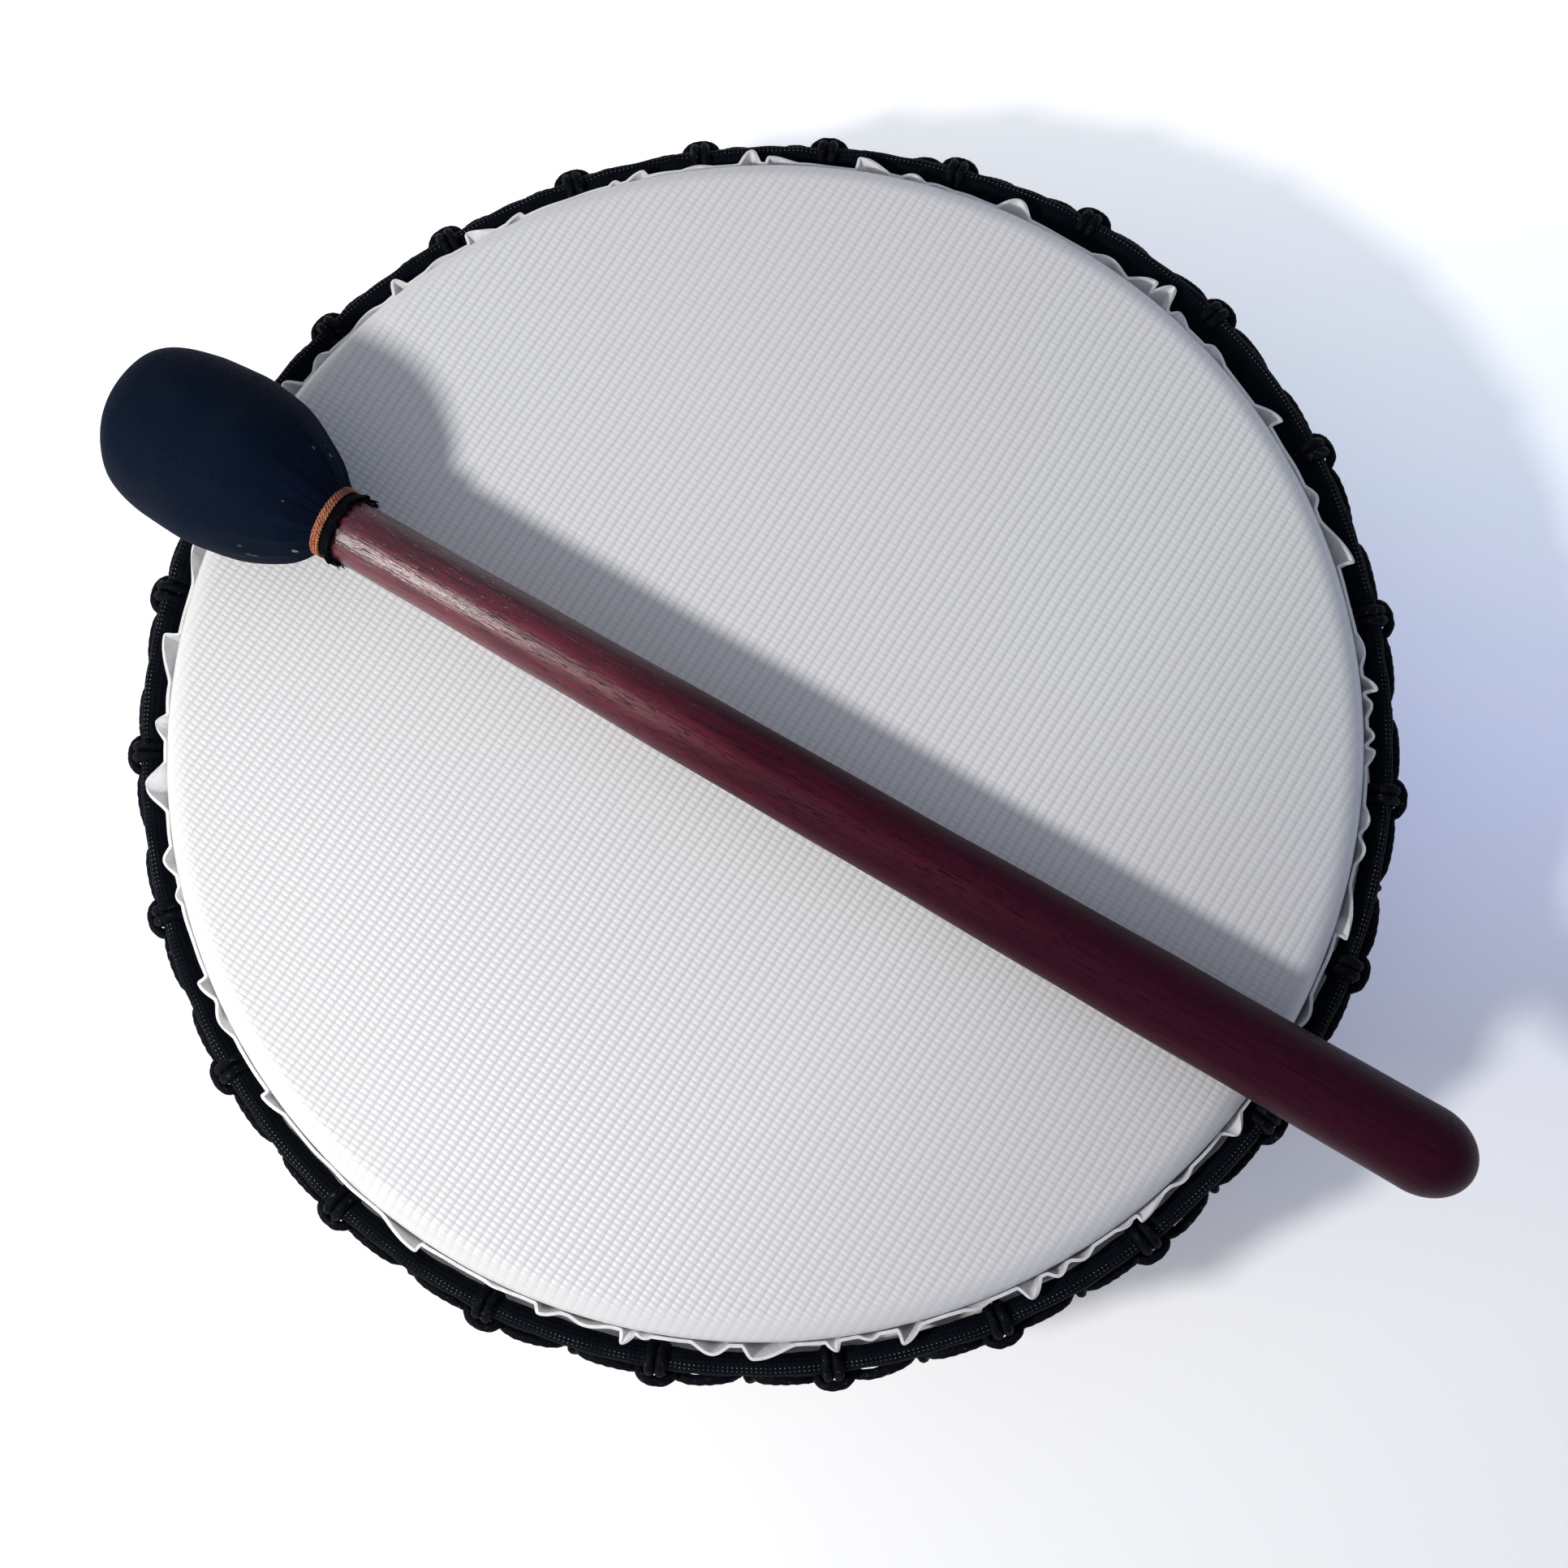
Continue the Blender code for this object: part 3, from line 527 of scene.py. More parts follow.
def at(angle, side, radius, height):
    """Points at a radius along an angle, and then sideways, clockwise from above."""
    x = radius * np.cos(angle) + side * np.sin(angle)
    y = radius * np.sin(angle) - side * np.cos(angle)
    return np.stack(np.broadcast_arrays(x, y, height), axis=-1)


def arc(centre, radius, first, last, count):
    """Points on a round stretch of a profile, angles in degrees."""
    turn = np.radians(np.linspace(first, last, count))
    return [(centre[0] + radius * math.cos(a), centre[1] + radius * math.sin(a)) for a in turn]


def hitch_angle(index):
    """Angle of a hitch about the drum's axis: hand tied, so the spacing drifts."""
    turn = index * 360.0 / HITCHES
    drift = sum(size * math.sin(math.radians(waves * turn + lead)) for waves, size, lead in HITCH_DRIFT)
    return math.radians(HITCH_START - turn + drift)


HITCH_ANGLES = [hitch_angle(i) for i in range(HITCHES)]


def hitch_distance(angle):
    """How far an angle is from the nearest hitch."""
    return np.min([np.abs(wrapped(angle - hitch)) for hitch in HITCH_ANGLES], axis=0)


def crown_radius(angle):
    """Radius of the crown ring's own line at an angle about the drum's axis."""
    radius = CROWN_LEAST
    for place, reach in CROWN_BULGES:
        away = np.minimum(BULGE_SIDE, np.abs(wrapped(angle - place)))
        radius = radius + reach * (1 + np.cos(math.pi * away / BULGE_SIDE)) / 2
    return radius


def row_faces(rows, count, closed=True):
    """Quads between rows of as many points, joined round or left open."""
    here = np.arange(count if closed else count - 1)
    following = (here + 1) % count
    quads = []
    for row in range(rows - 1):
        upper = row * count
        lower = upper + count
        quads.append(np.stack((upper + here, upper + following, lower + following, lower + here), axis=1))
    return np.concatenate(quads).tolist()


def poled_faces(rows, count):
    """Quads between closed rows, and a fan to a single point before the first and after the last."""
    faces = row_faces(rows, count)
    poles = rows * count
    for i in range(count):
        following = (i + 1) % count
        faces.append((poles, i, following))
        faces.append((poles + 1, poles - count + following, poles - count + i))
    return faces


def add_mesh(name, points, faces, material, place=None):
    """A smooth mesh object with its faces pointing out."""
    mesh = bpy.data.meshes.new(name)
    mesh.from_pydata(np.asarray(points).reshape(-1, 3).tolist(), [], faces)
    mesh.materials.append(material)
    build = bmesh.new()
    build.from_mesh(mesh)
    bmesh.ops.recalc_face_normals(build, faces=build.faces)
    build.to_mesh(mesh)
    build.free()
    mesh.shade_smooth()
    piece = bpy.data.objects.new(name, mesh)
    SCENE.collection.objects.link(piece)
    if place is not None:
        piece.matrix_world = place
    return piece


def dressed(piece, slot, body, *nodes):
    """Ride a finished piece on its body. The slot is not used."""
    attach(piece, body)
    if nodes:
        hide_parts(*nodes)


def turned(name, profile, steps, material, place=None, closed=False):
    """Turn a profile of (radius, height) points round Z. Its ends are on the axis, or it is closed."""
    turn = np.arange(steps) * math.tau / steps
    inner = profile if closed else profile[1:-1]
    rows = [at(turn, 0.0, radius, height) for radius, height in inner]
    if closed:
        faces = row_faces(len(rows) + 1, steps)
        return add_mesh(name, np.concatenate(rows + rows[:1]), faces, material, place)
    ends = [(0.0, 0.0, profile[0][1]), (0.0, 0.0, profile[-1][1])]
    return add_mesh(name, np.concatenate(rows + [ends]), poled_faces(len(rows), steps), material, place)


def store(piece, name, kind, values):
    """Give each point of a mesh a value that its material can read."""
    made = piece.data.attributes.new(name, kind, "POINT")
    made.data.foreach_set("value" if kind == "FLOAT" else "vector", np.ravel(values).astype(np.float32))


def smooth_path(points, step):
    """Points at an even step along a smooth curve through a list of points."""
    points = np.asarray(points)
    guide = np.vstack((2 * points[0] - points[1], points, 2 * points[-1] - points[-2]))
    knots = np.concatenate(([0.0], np.cumsum(np.sqrt(np.linalg.norm(np.diff(guide, axis=0), axis=1)))))
    share = np.linspace(0.0, 1.0, 14, endpoint=False)[:, None]
    runs = []
    for i in range(1, len(guide) - 2):
        t0, t1, t2, t3 = knots[i - 1 : i + 3]
        p0, p1, p2, p3 = guide[i - 1 : i + 3]
        t = t1 + (t2 - t1) * share
        first = ((t1 - t) * p0 + (t - t0) * p1) / (t1 - t0)
        middle = ((t2 - t) * p1 + (t - t1) * p2) / (t2 - t1)
        last = ((t3 - t) * p2 + (t - t2) * p3) / (t3 - t2)
        before = ((t2 - t) * first + (t - t0) * middle) / (t2 - t0)
        after = ((t3 - t) * middle + (t - t1) * last) / (t3 - t1)
        runs.append(((t2 - t) * before + (t - t1) * after) / (t2 - t1))
    fine = np.vstack(runs + [points[-1:]])
    along = np.concatenate(([0.0], np.cumsum(np.linalg.norm(np.diff(fine, axis=0), axis=1))))
    even = np.linspace(0.0, along[-1], round(along[-1] / step) + 1)
    return np.stack([np.interp(even, along, fine[:, k]) for k in range(3)], axis=1), even


def axes_along(path):
    """Two directions across a path at each of its points, which don't twist along it."""
    tangents = np.gradient(path, axis=0)
    tangents /= np.linalg.norm(tangents, axis=1)[:, None]
    side = np.cross(tangents[0], (0.31, 0.22, 0.92))
    sides = []
    for tangent in tangents:
        side = side - tangent * np.dot(side, tangent)
        side = side / np.linalg.norm(side)
        sides.append(side)
    sides = np.array(sides)
    return sides, np.cross(tangents, sides)


def tubes(name, paths, radii, material, place=None):
    """Tubes with flat ends in one mesh; radii holds a row for each point and a column for each side."""
    rows, count = radii.shape
    turn = np.arange(count) * math.tau / count
    points = []
    faces = []
    for path in paths:
        sides, others = axes_along(path)
        spokes = sides[:, None] * np.cos(turn)[:, None] + others[:, None] * np.sin(turn)[:, None]
        first = len(points) * rows * count
        last = first + rows * count
        points.append(path[:, None] + spokes * radii[:, :, None])
        faces += [[first + v for v in quad] for quad in row_faces(rows, count)]
        faces += [list(range(first, first + count)), list(range(last - count, last))]
    return add_mesh(name, np.concatenate(points), faces, material, place)


def braided(name, points, radius, step, count, depth, material):
    """A braided cord: two sets of strands wind round it in opposite directions."""
    path, along = smooth_path(points, step)
    turn = np.arange(count) * math.tau / count * 4
    lay = (along * math.tau / (radius * 2.1))[:, None]
    relief = np.maximum(np.cos(turn + lay), np.cos(turn - lay)) * 0.5 + 0.5
    piece = tubes(name, [path], radius * (1 + depth * (relief - 0.6)), material)
    store(piece, "relief", "FLOAT", relief)
    return piece


def make_hoop(wood):
    """Bent wooden hoop: round bearing edge, and a notch in its back edge for each hitch."""
    centre = (HOOP_RADIUS - BEARING_ROUND, HOOP_TOP - BEARING_ROUND)
    chamfer = 1.2 * MM
    profile = [(HOOP_INNER, HOOP_TOP - 2 * MM), (HOOP_INNER + 0.6 * MM, HOOP_TOP - 0.6 * MM)]
    profile.append((HOOP_INNER + 2 * MM, HOOP_TOP))
    profile += arc(centre, BEARING_ROUND, 90.0, 0.0, 10)
    profile += [(HOOP_RADIUS, height * MM) for height in (50.0, 30.0, 12.0)]
    profile += arc((HOOP_RADIUS - chamfer, chamfer), chamfer, 0.0, -90.0, 4)
    profile += arc((HOOP_INNER + chamfer, chamfer), chamfer, 270.0, 180.0, 4)
    profile += [(HOOP_INNER, height * MM) for height in (12.0, 30.0, 50.0)]
    hoop = turned("bent_hoop", profile, 216, wood, closed=True)
    weld = hoop.modifiers.new("weld", "WELD")
    weld.merge_threshold = 0.01 * MM
    cutting = bmesh.new()
    for angle in HITCH_ANGLES:
        wall = Matrix.Translation(((HOOP_RADIUS + HOOP_INNER) / 2, 0.0, 0.0))
        size = Matrix.Diagonal((NOTCH_CUT, NOTCH_HALF_WIDTH * 2, NOTCH_HEIGHT * 2, 1.0))
        turn = Matrix.Rotation(angle, 4, "Z")
        bmesh.ops.create_cube(cutting, size=1.0, matrix=turn @ wall @ size)
    along = [edge for edge in cutting.edges if round_the_notch(edge)]
    bmesh.ops.bevel(cutting, geom=along, offset=1.3 * MM, segments=4, affect="EDGES")
    mesh = bpy.data.meshes.new("notches")
    cutting.to_mesh(mesh)
    cutting.free()
    cutter = bpy.data.objects.new("notches", mesh)
    SCENE.collection.objects.link(cutter)
    cut = hoop.modifiers.new("notches", "BOOLEAN")
    cut.operation = "DIFFERENCE"
    cut.solver = "EXACT"
    cut.object = cutter
    settle(hoop)
    bpy.data.objects.remove(cutter, do_unlink=True)
    hoop.data.set_sharp_from_angle(angle=math.radians(35.0))
    dressed(hoop, "hoop_wood", "drum", "frame_hoop")


def round_the_notch(edge):
    """True for the long upper edges of a notch's cutter, which run outward."""
    first, last = (vert.co for vert in edge.verts)
    span = last - first
    return first.z > 0 and last.z > 0 and span.length > NOTCH_CUT * 0.9


def settle(piece):
    """Replace a piece's mesh by the one that its modifiers make."""
    bpy.context.view_layer.update()
    graph = bpy.context.evaluated_depsgraph_get()
    mesh = bpy.data.meshes.new_from_object(piece.evaluated_get(graph))
    piece.modifiers.clear()
    piece.data = mesh


def cut_edge(angle):
    """How far the trimmed edge swings outward, and leans clockwise, at an angle."""
    swing = (0.16 + 0.10 * np.sin(angle * 47 + 1.1) + 0.06 * np.sin(angle * 83 + 2.0)) * MM
    lean = np.zeros_like(angle)
    for crest, reach, before, after, slant in FOLDS:
        away = np.degrees(wrapped(math.radians(crest) - angle))
        share = np.clip(np.where(away > 0, away / after, -away / before), 0.0, 1.0)
        lobe = np.cos(share * math.pi / 2) ** FOLD_ROUNDNESS
        swing = np.maximum(swing, reach * MM * lobe)
        lean += slant * MM * lobe ** 2
    return swing, lean


def make_skin(skin):
    """One sheet: face, round edge, skirt, fold round the flesh ring and the trimmed, ruffled edge."""
    columns = 405
    split = 8
    bend = BEARING_ROUND + GAP + SKIN_MIDDLE
    fold = FLESH_ROD + GAP + SKIN_MIDDLE
    face = HOOP_TOP + GAP + SKIN_MIDDLE
    centre = (HOOP_RADIUS - BEARING_ROUND, HOOP_TOP - BEARING_ROUND)
    inside = math.degrees(math.acos((RUFFLE_LINE - FLESH_PLACE[0]) / fold))
    base = FLESH_PLACE[1] + fold + RUFFLE_START
    profile = [(radius * MM, face) for radius in (10, 30, 60, 90, 120, 138)]
    profile += arc(centre, bend, 90.0, 0.0, 14)
    profile += arc(FLESH_PLACE, fold, 180.0, 360.0 + inside, 22)
    profile.append((RUFFLE_LINE, base))
    turn = -np.arange(columns) * math.tau / columns
    rows = [at(turn, 0.0, radius, height) for radius, height in profile]
    faces = row_faces(len(rows), columns)
    start = columns * len(rows)
    fine = -np.arange(columns * split) * math.tau / (columns * split)
    swing, lean = cut_edge(fine)
    free = eased((hitch_distance(fine) - PRESSED_SIDE) / PRESSED_FADE)
    flare = PRESSED_FLARE + (FOLD_FLARE - PRESSED_FLARE) * free
    uneven = (0.22 * np.sin(fine * 29 + 0.7) + 0.14 * np.sin(fine * 67 + 2.6)) * MM
    shares = (0.14, 0.28, 0.42, 0.55, 0.67, 0.78, 0.87, 0.94, 1.0)
    for share in shares:
        out = swing * share ** flare
        droop = FOLD_DROOP * swing ** 2 / RUFFLE_RISE * share ** 3
        height = base + RUFFLE_RISE * share + uneven * share - droop
        rows.append(at(fine, lean * share ** flare, RUFFLE_LINE + out, height))
    faces += [[start + v for v in quad] for quad in row_faces(len(shares), columns * split)]
    lowest = start - columns
    for i in range(columns):
        following = (i + 1) % columns
        for step in range(split):
            below = i if step < split // 2 else following
            upper = start + i * split + step
            across = start + (i * split + step + 1) % (columns * split)
            faces.append((lowest + below, upper, across))
        faces.append((lowest + i, start + i * split + split // 2, lowest + following))
    count = sum(len(row) for row in rows)
    for i in range(columns):
        faces.append((count, i, (i + 1) % columns))
    rows.append(np.array([(0.0, 0.0, face)]))
    piece = add_mesh("ruffled_skin", np.concatenate(rows), faces, skin)
    sheet = piece.modifiers.new("sheet", "SOLIDIFY")
    sheet.thickness = SKIN
    sheet.offset = 0.0
    settle(piece)
    piece.data.set_sharp_from_angle(angle=math.radians(60.0))
    dressed(piece, "white_skin", "drum", "drumhead")


def make_crown_wrap(tape):
    """Padded tape round the crown ring: swelled between the hitches and pinched under them."""
    stations = 1300
    count = 30
    angle = (HITCH_ANGLES[0] - np.arange(stations) * math.tau / stations)[:, None]
    ring = crown_radius(angle)
    turn = (TAPE_SEAM - (np.arange(count) + 0.5) * math.tau / count)[None]
    side = hitch_distance(angle) * ring
    swell = eased((side - PINCH_SIDE) / (PAD_SIDE - PINCH_SIDE))
    inward = ring - PAD_INSIDE
    across = np.where(np.cos(turn) > 0, PAD_AT_HITCH + (PAD_OUTWARD - PAD_AT_HITCH) * swell, inward)
    rise = PAD_AT_HITCH + (PAD_HALF_HEIGHT - PAD_AT_HITCH) * swell
    lumps = 0.16 * np.sin(angle * 41 + turn) + 0.10 * np.sin(angle * 97 - 2 * turn + 1.7)
    gathers = 0.14 * np.cos(turn * 9 + 2 * np.sin(angle * 31)) * (1 - np.abs(2 * swell - 1))
    knit = 0.05 * np.cos(turn * 15)
    loft = 1 + (lumps + gathers + knit) * MM / PAD_HALF_HEIGHT
    radius = ring + across * np.cos(turn) * loft
    height = CROWN_HEIGHT + rise * np.sin(turn) * loft
    points = at(np.broadcast_to(angle, radius.shape), 0.0, radius, height)
    faces = row_faces(stations + 1, count)
    faces = [[v % (stations * count) for v in quad] for quad in faces]
    piece = add_mesh("padded_crown_tape", points, faces, tape)
    along = np.broadcast_to((HITCH_ANGLES[0] - angle) * CROWN_LEAST, radius.shape)
    around = np.broadcast_to(turn % math.tau, radius.shape)
    store(piece, "lie", "FLOAT_VECTOR", np.stack((along, around, along * 0), axis=-1))
    dressed(piece, "black_cloth", "drum", "crown_wrap")


def loop_point(index, side=0.0, outward=0.0, up=0.0):
    """Point at the middle of the strand between a hitch and the next one, or beside it."""
    angle = (hitch_angle(index) + hitch_angle(index + 1)) / 2
    radius = crown_radius(angle) + LOOP_OUT
    return at(angle, side, radius + outward, CROWN_HEIGHT - LOOP_DOWN + up)


def hitch_points(index):
    """Cow hitch round the crown ring, from the loop before it to the loop after it."""
    ring = crown_radius(HITCH_ANGLES[index])
    strand = CRADLE_ROPE * 1.1
    layer = strand * 2
    front = HITCH_TIGHT + CRADLE_ROPE
    corner = front / math.cos(math.radians(30.0))
    # Side, outward and up from the crown ring's line, to the middle of the hitch
    half = [
        (-SHOULDER_SIDE, *(LOOSE_SHOULDER if index in LOOSE_HITCHES else SHOULDER)),
        (-strand * 2.6, front + 0.7 * MM, -front - layer - 0.2 * MM),
        (-strand * 1.1, front + 0.1 * MM, -front - layer + 0.6 * MM),
    ]
    for degrees in (30.0, 90.0, 150.0, 210.0):
        turn = math.radians(degrees)
        half.append((-strand, corner * math.cos(turn), corner * math.sin(turn)))
    half += [
        (-strand * 2.9, 1.2 * MM, -front - 1.5 * MM),
        (-strand * 3.1, front + 0.9 * MM, -front - 0.2 * MM),
        (-strand * 1.7, front + layer, -front + 0.3 * MM),
    ]
    whole = half + [(-side, out, up) for side, out, up in reversed(half)]
    whole[-1] = (SHOULDER_SIDE, *SHOULDER)
    return [at(HITCH_ANGLES[index], side, ring + out, CROWN_HEIGHT + up) for side, out, up in whole]


def make_cradle(cord):
    """The rope that makes a hitch and a loop, all round the crown ring."""

    def beside(index, side):
        return loop_point(index, side, *BESIDE_LOOP)

    last = HITCHES - 1
    points = [loop_point(last, side=CRADLE_ROPE), beside(last, BESIDE_LOOP_SIDE)]
    for index in range(HITCHES):
        points += hitch_points(index)
        points.append(beside(index, -BESIDE_LOOP_SIDE))
        if index < last:
            points += [loop_point(index), beside(index, BESIDE_LOOP_SIDE)]
    points.append(loop_point(last, side=-CRADLE_ROPE))
    piece = braided("hitched_rope", points, CRADLE_ROPE * ROPE_SWELL, 0.5 * MM, 16, BRAID_DEPTH, cord)
    dressed(piece, "black_rope", "drum", "cradle_rope")


def make_lacing(cord):
    """The rope from loop to loop, over the back edge and round the grip ring."""
    outside = HOOP_RADIUS + ROPE_GAP + LACING_ROPE
    inside = HOOP_INNER - ROPE_GAP - LACING_ROPE
    hook = ((HOOK, -HOOK_TUCK), (HOOK * 0.65, HOOK * 0.9), (-HOOK * 0.65, HOOK * 0.9), (-HOOK, -HOOK_TUCK))

    def strand(angle, side):
        return at(angle, side, inside, NOTCH_LINE), at(angle, side, outside, NOTCH_LINE)

    def round_grip(angle, side, degrees):
        turn = math.radians(degrees)
        radius = GRIP_RADIUS + GRIP_TURN * math.cos(turn)
        return at(angle, side, radius, GRIP_HEIGHT + GRIP_TURN * math.sin(turn))

    angle = HITCH_ANGLES[0]
    points = [round_grip(angle, STRAND_SIDE, 90.0), *strand(angle, STRAND_SIDE)]
    for index in range(HITCHES):
        for step, (outward, up) in enumerate(hook):
            points.append(loop_point(index, (step - 1.5) * HOOK_SLANT, outward, up))
        angle = HITCH_ANGLES[(index + 1) % HITCHES]
        points.append(strand(angle, -STRAND_SIDE)[1])
        turns = ((-1.0, 270.0), (-1.0, 210.0), (1.0, 150.0), (1.0, 90.0))
        if index == HITCHES - 1:
            turns = turns[:2]
        points += [round_grip(angle, STRAND_SIDE * share, degrees) for share, degrees in turns]
        if index < HITCHES - 1:
            points += strand(angle, STRAND_SIDE)
    points = straight_runs(points)
    piece = braided("lacing_cord", points, LACING_ROPE, 0.95 * MM, 10, LACING_DEPTH, cord)
    dressed(piece, "black_rope", "drum", "lacing_rope")


def straight_runs(points):
    """Extra points beside the ends of long runs, so that a smooth curve keeps them straight."""
    kept = [points[0]]
    for first, last in zip(points[:-1], points[1:]):
        run = last - first
        length = np.linalg.norm(run)
        if length > LONG_RUN:
            beside = run * RUN_END / length
            kept += [first + beside, last - beside]
        kept.append(last)
    return kept


def make_grip_ring(steel):
    """The bare steel ring at the back, which the lacing is wound round."""
    profile = arc((GRIP_RADIUS, GRIP_HEIGHT), GRIP_ROD, 90.0, -255.0, 24)
    piece = turned("bare_grip_ring", profile, 144, steel, closed=True)
    dressed(piece, "ring_steel", "drum", "grip_ring")


def stick_radius(along):
    """Radius of the bare stick, which swells towards its end."""
    return STICK_BARE + (STICK_END - STICK_BARE) * max(0.0, along / STICK_LENGTH) ** 1.2


def held_radius(along):
    """Radius of the finished stick, which swells sooner than the frame's plain one."""
    return STICK_BARE + STICK_SWELL * max(0.0, along / STICK_LENGTH) ** 0.85


def beater_frame():
    """The beater's axes: Z runs from its neck to the stick's end. It rests on two sides of the rim."""
    rim = HOOP_RADIUS - REST_IN
    first = Vector((math.cos(HEAD_SIDE), math.sin(HEAD_SIDE), 0.0)) * rim
    last = Vector((math.cos(STICK_SIDE), math.sin(STICK_SIDE), 0.0)) * rim
    first.z = DRUM_HEIGHT + GAP + HEAD_RADIUS
    last.z = DRUM_HEIGHT + GAP + stick_radius((last - first).length - NECK_INSIDE)
    axis = (last - first).normalized()
    pose = axis.to_track_quat("Z", "Y").to_matrix().to_4x4()
    return Matrix.Translation(first + axis * NECK_INSIDE) @ pose


def make_stick(wood, place):
    """The stick: bare to its blunt end, and turned down where the head is tied on."""
    length = STICK_LENGTH + STICK_EXTRA
    blunt = STICK_BLUNT + STICK_BLUNT_EXTRA
    widest = held_radius(length - blunt)
    profile = [(0.0, length)]
    for turn in np.radians(np.linspace(6.0, 84.0, 16)):
        profile.append((widest * math.sin(turn), length - blunt * (1 - math.cos(turn))))
    for height in np.linspace(length - blunt, HEM_START + NECK_SLOPE, 100):
        carved = 0.07 * math.sin(height * 61 + 1.0) + 0.05 * math.sin(height * 143)
        profile.append((held_radius(height) + carved * MM, height))
    profile += [(STICK_NECK, HEM_START), (STICK_NECK, -STICK_IN_HEAD + NECK_CHAMFER)]
    profile += [(STICK_NECK - NECK_CHAMFER, -STICK_IN_HEAD), (0.0, -STICK_IN_HEAD)]
    stick = turned("stained_stick", profile, 72, wood, place)
    lean = Matrix.Identity(4)
    lean[0][2] = -STICK_LEAN
    stick.data.transform(lean)
    dressed(stick, "stained_wood", "beater", "beater_stick")


def head_row(turn, along, radius, side=0.0, half_height=HEAD_HALF_HEIGHT):
    """Points round the head at a distance from its neck, a little flattened where it is widest."""
    x = side + radius * np.cos(turn)
    y = np.minimum(radius, half_height) * np.sin(turn)
    return np.stack(np.broadcast_arrays(x, y, -along), axis=-1)


def head_outline(step):
    """The head's outline in metres, at an even step, and how far along it each point is."""
    return smooth_path([[value * MM for value in point] for point in HEAD_OUTLINE], step)


def make_cover(cloth, place):
    """The cloth over the head: gathered at the neck, with a ragged hem past the binding."""
    count = 168
    turn = np.arange(count) * math.tau / count
    chance = np.random.default_rng(4)
    ragged = np.convolve(np.tile(chance.normal(0, 1, count), 3), np.ones(3) / 3, "same")[count:-count]
    rows = []
    neck = STICK_NECK + GAP + COVER / 2
    for reach, flare in ((2.7, 1.25), (2.2, 1.2), (1.6, 0.9), (0.9, 0.6), (0.3, 0.35)):
        frill = flare * (0.75 + 0.30 * np.sin(turn * 9 + np.sin(turn * 4)) + 0.25 * ragged)
        along = -HEM_START - reach * (1 + 0.22 * ragged) * MM
        rows.append(head_row(turn, along, neck + frill * MM))
    for along in (-HEM_START, -1.2 * MM, -0.5 * MM):
        rows.append(head_row(turn, along, neck))
    outline, walked = head_outline(1.05 * MM)
    phase = turn * NECK_GATHERS + 2.2 * np.sin(turn * 3 + 0.4) + 1.1 * np.sin(turn * 7 + 2.0)
    slow = turn * SLOW_GATHERS + 1.5 * np.sin(turn * 2 + 1.0)
    for (along, radius, side), walk in zip(outline, walked / walked[-1]):
        crease = 0.62 * max(0.0, 1 - walk / 0.30) * np.abs(np.sin(phase / 2)) ** 0.7
        crease = crease + 0.35 * max(0.0, 1 - walk / 0.42) * np.sin(slow)
        dent = 0.25 * math.exp(-walk / 0.08) * np.sin(phase * 1.9)
        uneven = 0.22 * np.sin(turn * 3 + 1.2 + walk * 2) + 0.12 * np.sin(turn * 5 + walk * 5)
        rise = min(1.0, walk / 0.03) * min(1.0, radius / (8 * MM)) * MM
        loft = (crease + dent + uneven * min(1.0, walk * 3)) * rise
        rows.append(head_row(turn, along, radius - COVER / 2 + loft, side))
    faces = row_faces(len(rows), count)
    last = count * len(rows)
    for i in range(count):
        faces.append((last, last - count + (i + 1) % count, last - count + i))
    tip = np.array([(outline[-1][2], 0.0, -outline[-1][0] - 0.15 * MM)])
    piece = add_mesh("gathered_cover", np.concatenate(rows + [tip]), faces, cloth, place)
    sheet = piece.modifiers.new("sheet", "SOLIDIFY")
    sheet.thickness = COVER * 0.8
    sheet.offset = 0.0
    settle(piece)
    dressed(piece, "cover_cloth", "beater", "beater_cover")


def make_filling(felt, place):
    """Wool filling inside the cover, bored for the stick's end."""
    count = 96
    turn = np.arange(count) * math.tau / count
    bore = STICK_NECK + 2 * GAP
    bottom = STICK_IN_HEAD + 2 * GAP
    shape = [(bottom, bore - NECK_CHAMFER, 0.0), (bottom - NECK_CHAMFER, bore, 0.0)]
    shape += [(25 * MM, bore, 0.0), (2 * MM, bore, 0.0)]
    for along, radius, side in head_outline(1.5 * MM)[0]:
        if radius > bore + FILLING_INSIDE + GAP or along > HEAD_LENGTH / 2:
            shape.append((along * FILLING_SHARE, max(radius - FILLING_INSIDE, 1 * MM), side))
    rows = [head_row(turn, *point, HEAD_HALF_HEIGHT - FILLING_INSIDE) for point in shape]
    ends = [(0.0, 0.0, -shape[0][0]), (shape[-1][2], 0.0, -shape[-1][0])]
    faces = poled_faces(len(rows), count)
    piece = add_mesh("wool_filling", np.concatenate(rows + [ends]), faces, felt, place)
    dressed(piece, "padding_felt", "beater", "beater_padding")


